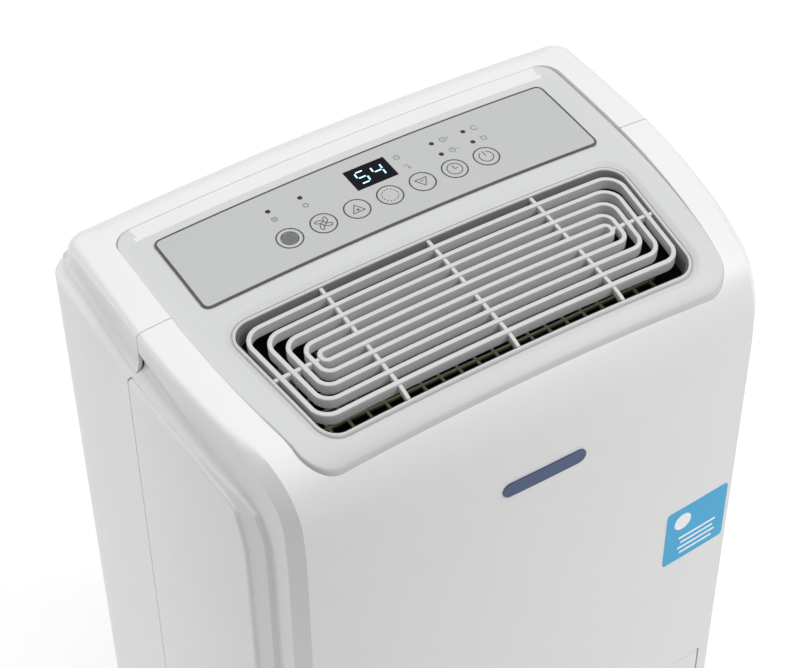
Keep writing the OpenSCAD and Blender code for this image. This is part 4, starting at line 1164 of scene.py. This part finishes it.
def cardPiece(name, cx, cz, half, radius, high, thick, material, stands=()):
    # a thin card with rounded corners laid on the front
    turn = np.radians(np.linspace(0, 360, 64, endpoint=False))
    around = np.stack([np.cos(turn), np.sin(turn)], -1)
    corner = np.sign(np.round(around, 9)) * (np.array(half) - radius) + radius * around
    q = np.linspace(0, 1, 9)[1:]
    inside = corner[:, None, :] * q[None, :, None]
    middle = np.zeros((len(turn), 1))
    x = cx + np.concatenate([middle, inside[..., 0], corner[:, :1], middle], 1)
    z = cz + np.concatenate([middle, inside[..., 1], corner[:, 1:], middle], 1)
    h = np.r_[np.full(9, high), high - thick, high - thick]
    grid = frontPoint(x, z, h[None, :] + 0 * x)
    grid = np.concatenate([grid, grid[:1]])
    piece = makeMesh(name, [(grid, gridFaces(*grid.shape[:2]))], grid.reshape(-1, 3).mean(0), 0, 30)
    return finishPiece(piece, "cabinet", [material], stands)


lx, lz = label["x"], label["z"]
cardPiece("frontLabel", lx, lz, label["half"], label["radius"], 0.2, 0.35, paint["labelCyan"], ["front_label"])
for k in range(4):
    half = (16 - 2 * (k % 2), 0.9)
    cardPiece(f"labelBar{k + 1}", lx + 2, lz - 4 - 5 * k, half, 0.4, 0.3, 0.2, paint["labelWhite"])
cardPiece("labelPatch", lx - 12, lz + 12, (7, 7), 6.9, 0.3, 0.2, paint["labelWhite"])
print("label made")

# bucket front, bowed like the cover round it
bucket = {
    "half": 150.0,
    "low": 45.0,
    "high": 235.0,
    "grip": (54.5, 201.0, 221.0),  # half width, low and high edge of the grip's opening
    "window": (116.2, 127.8, 75.2, 184.8),  # left, right, low and high edge of the level window's opening
    "round": 1.2,  # of the plate's edge
}


def makeBucketFront():
    b = bucket
    gx, g0, g1 = b["grip"]
    wx0, wx1, wz0, wz1 = b["window"]
    r = b["round"]
    xs = np.unique(np.r_[np.linspace(-b["half"] + r, b["half"] - r, 61), -gx, gx, wx0, wx1])
    zs = np.unique(np.r_[np.linspace(b["low"] + r, b["high"] - r, 31), g0, g1, wz0, wz1])
    border = np.array([(r, 0.0), (0.85, -0.05), (0.35, -0.35), (0.05, -0.85), (0, -r), (0, -12)])
    x, z = np.meshgrid(xs, zs, indexing="ij")
    face = frontPoint(x, z, 0.0)
    faces = gridFaces(*face.shape[:2])
    mid = face.reshape(-1, 3)[faces].mean(1)
    gap = (np.abs(mid[:, 0]) < gx) & (mid[:, 2] > g0) & (mid[:, 2] < g1)
    gap |= (mid[:, 0] > wx0) & (mid[:, 0] < wx1) & (mid[:, 2] > wz0) & (mid[:, 2] < wz1)
    blocks = [(face, faces[~gap])]
    inset, rise = border[:, 0], border[None, :, 1]
    for sign in (-1, 1):
        side = sign * (b["half"] - inset)[None, :]
        blocks.append((frontPoint(side, zs[:, None], rise), gridFaces(len(zs), len(border))))
        level = ((b["high"] if sign > 0 else b["low"]) - sign * inset)[None, :]
        blocks.append((frontPoint(xs[:, None], level, rise), gridFaces(len(xs), len(border))))
    piece = makeMesh("bucketFront", blocks, (0, 0, 140), 2.4, 32)
    return finishPiece(piece, "bucket", [paint["coverWhite"]], ["bucket_front"])


makeBucketFront()
print("bucket front made")

insideGap = 0.7


def drawnIn(name, node, material):
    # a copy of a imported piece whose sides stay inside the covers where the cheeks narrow
    mesh = nodes[node].data.copy()
    mesh.name = name
    points = np.zeros(len(mesh.vertices) * 3)
    mesh.vertices.foreach_get("co", points)
    points = points.reshape(-1, 3) / mm
    limit = bandHalf(points[:, 1], cover["cheekHalf"]) - body["wall"] - insideGap
    points[:, 0] = np.clip(points[:, 0], -limit, limit)
    mesh.vertices.foreach_set("co", (points * mm).ravel())
    cleanMesh(mesh, weldGap / 2, sliverGap, turn=False)
    mesh.materials.clear()
    piece = addPiece(name, mesh)
    shade(piece, 30)
    finishPiece(piece, "cabinet", [material], [node])


drawnIn("chassisFrame", "chassis_frame", paint["steelZinc"])
drawnIn("basePan", "base_pan", paint["boxGrey"])

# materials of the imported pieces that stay
looks = {
    "ductBlack": ["blower_housing", "drip_tray", "drain_spigot", "blower_wheel", "board_components",
                  "bucket_switch"],
    "coverWhite": ["intake_grille"],
    "guardOlive": ["outlet_guard"],
    "badgeBlue": ["badge"],
    "filterGrey": ["filter_frame"],
    "meshDark": ["filter_mesh"],
    "coilAluminium": ["evaporator", "condenser"],
    "pipeCopper": ["refrigerant_pipes"],
    "hoseClear": ["drain_hose"],
    "enamelBlack": ["compressor"],
    "rubberBlack": ["compressor_mounts", "cord_gland"],
    "steelZinc": ["fan_shaft", "fan_motor", "run_capacitor", "shell_screws"],
    "boxGrey": ["control_box", "bucket_handle"],
    "boardGreen": ["display_board"],
    "tankClear": ["bucket_tank", "bucket_lid", "level_window"],
    "floatCream": ["bucket_float"],
    "plungerRed": ["switch_plunger"],
}
for corner in ("fl", "fr", "rl", "rr"):
    looks["ductBlack"].append("caster_fork_" + corner)
    looks["rubberBlack"].append("caster_wheel_" + corner)
    looks["steelZinc"].append("caster_axle_" + corner)
for look, dressed in looks.items():
    for node in dressed:
        data = nodes[node].data
        if not data.materials:
            data.materials.append(paint[look])
        for k in range(len(data.materials)):
            nodes[node].material_slots[k].material = paint[look]
dressed = sum(looks.values(), [])
left = [n for n in nodes if n not in dressed and not nodes[n].hide_render]
print("packed pieces without a finish here:", left)
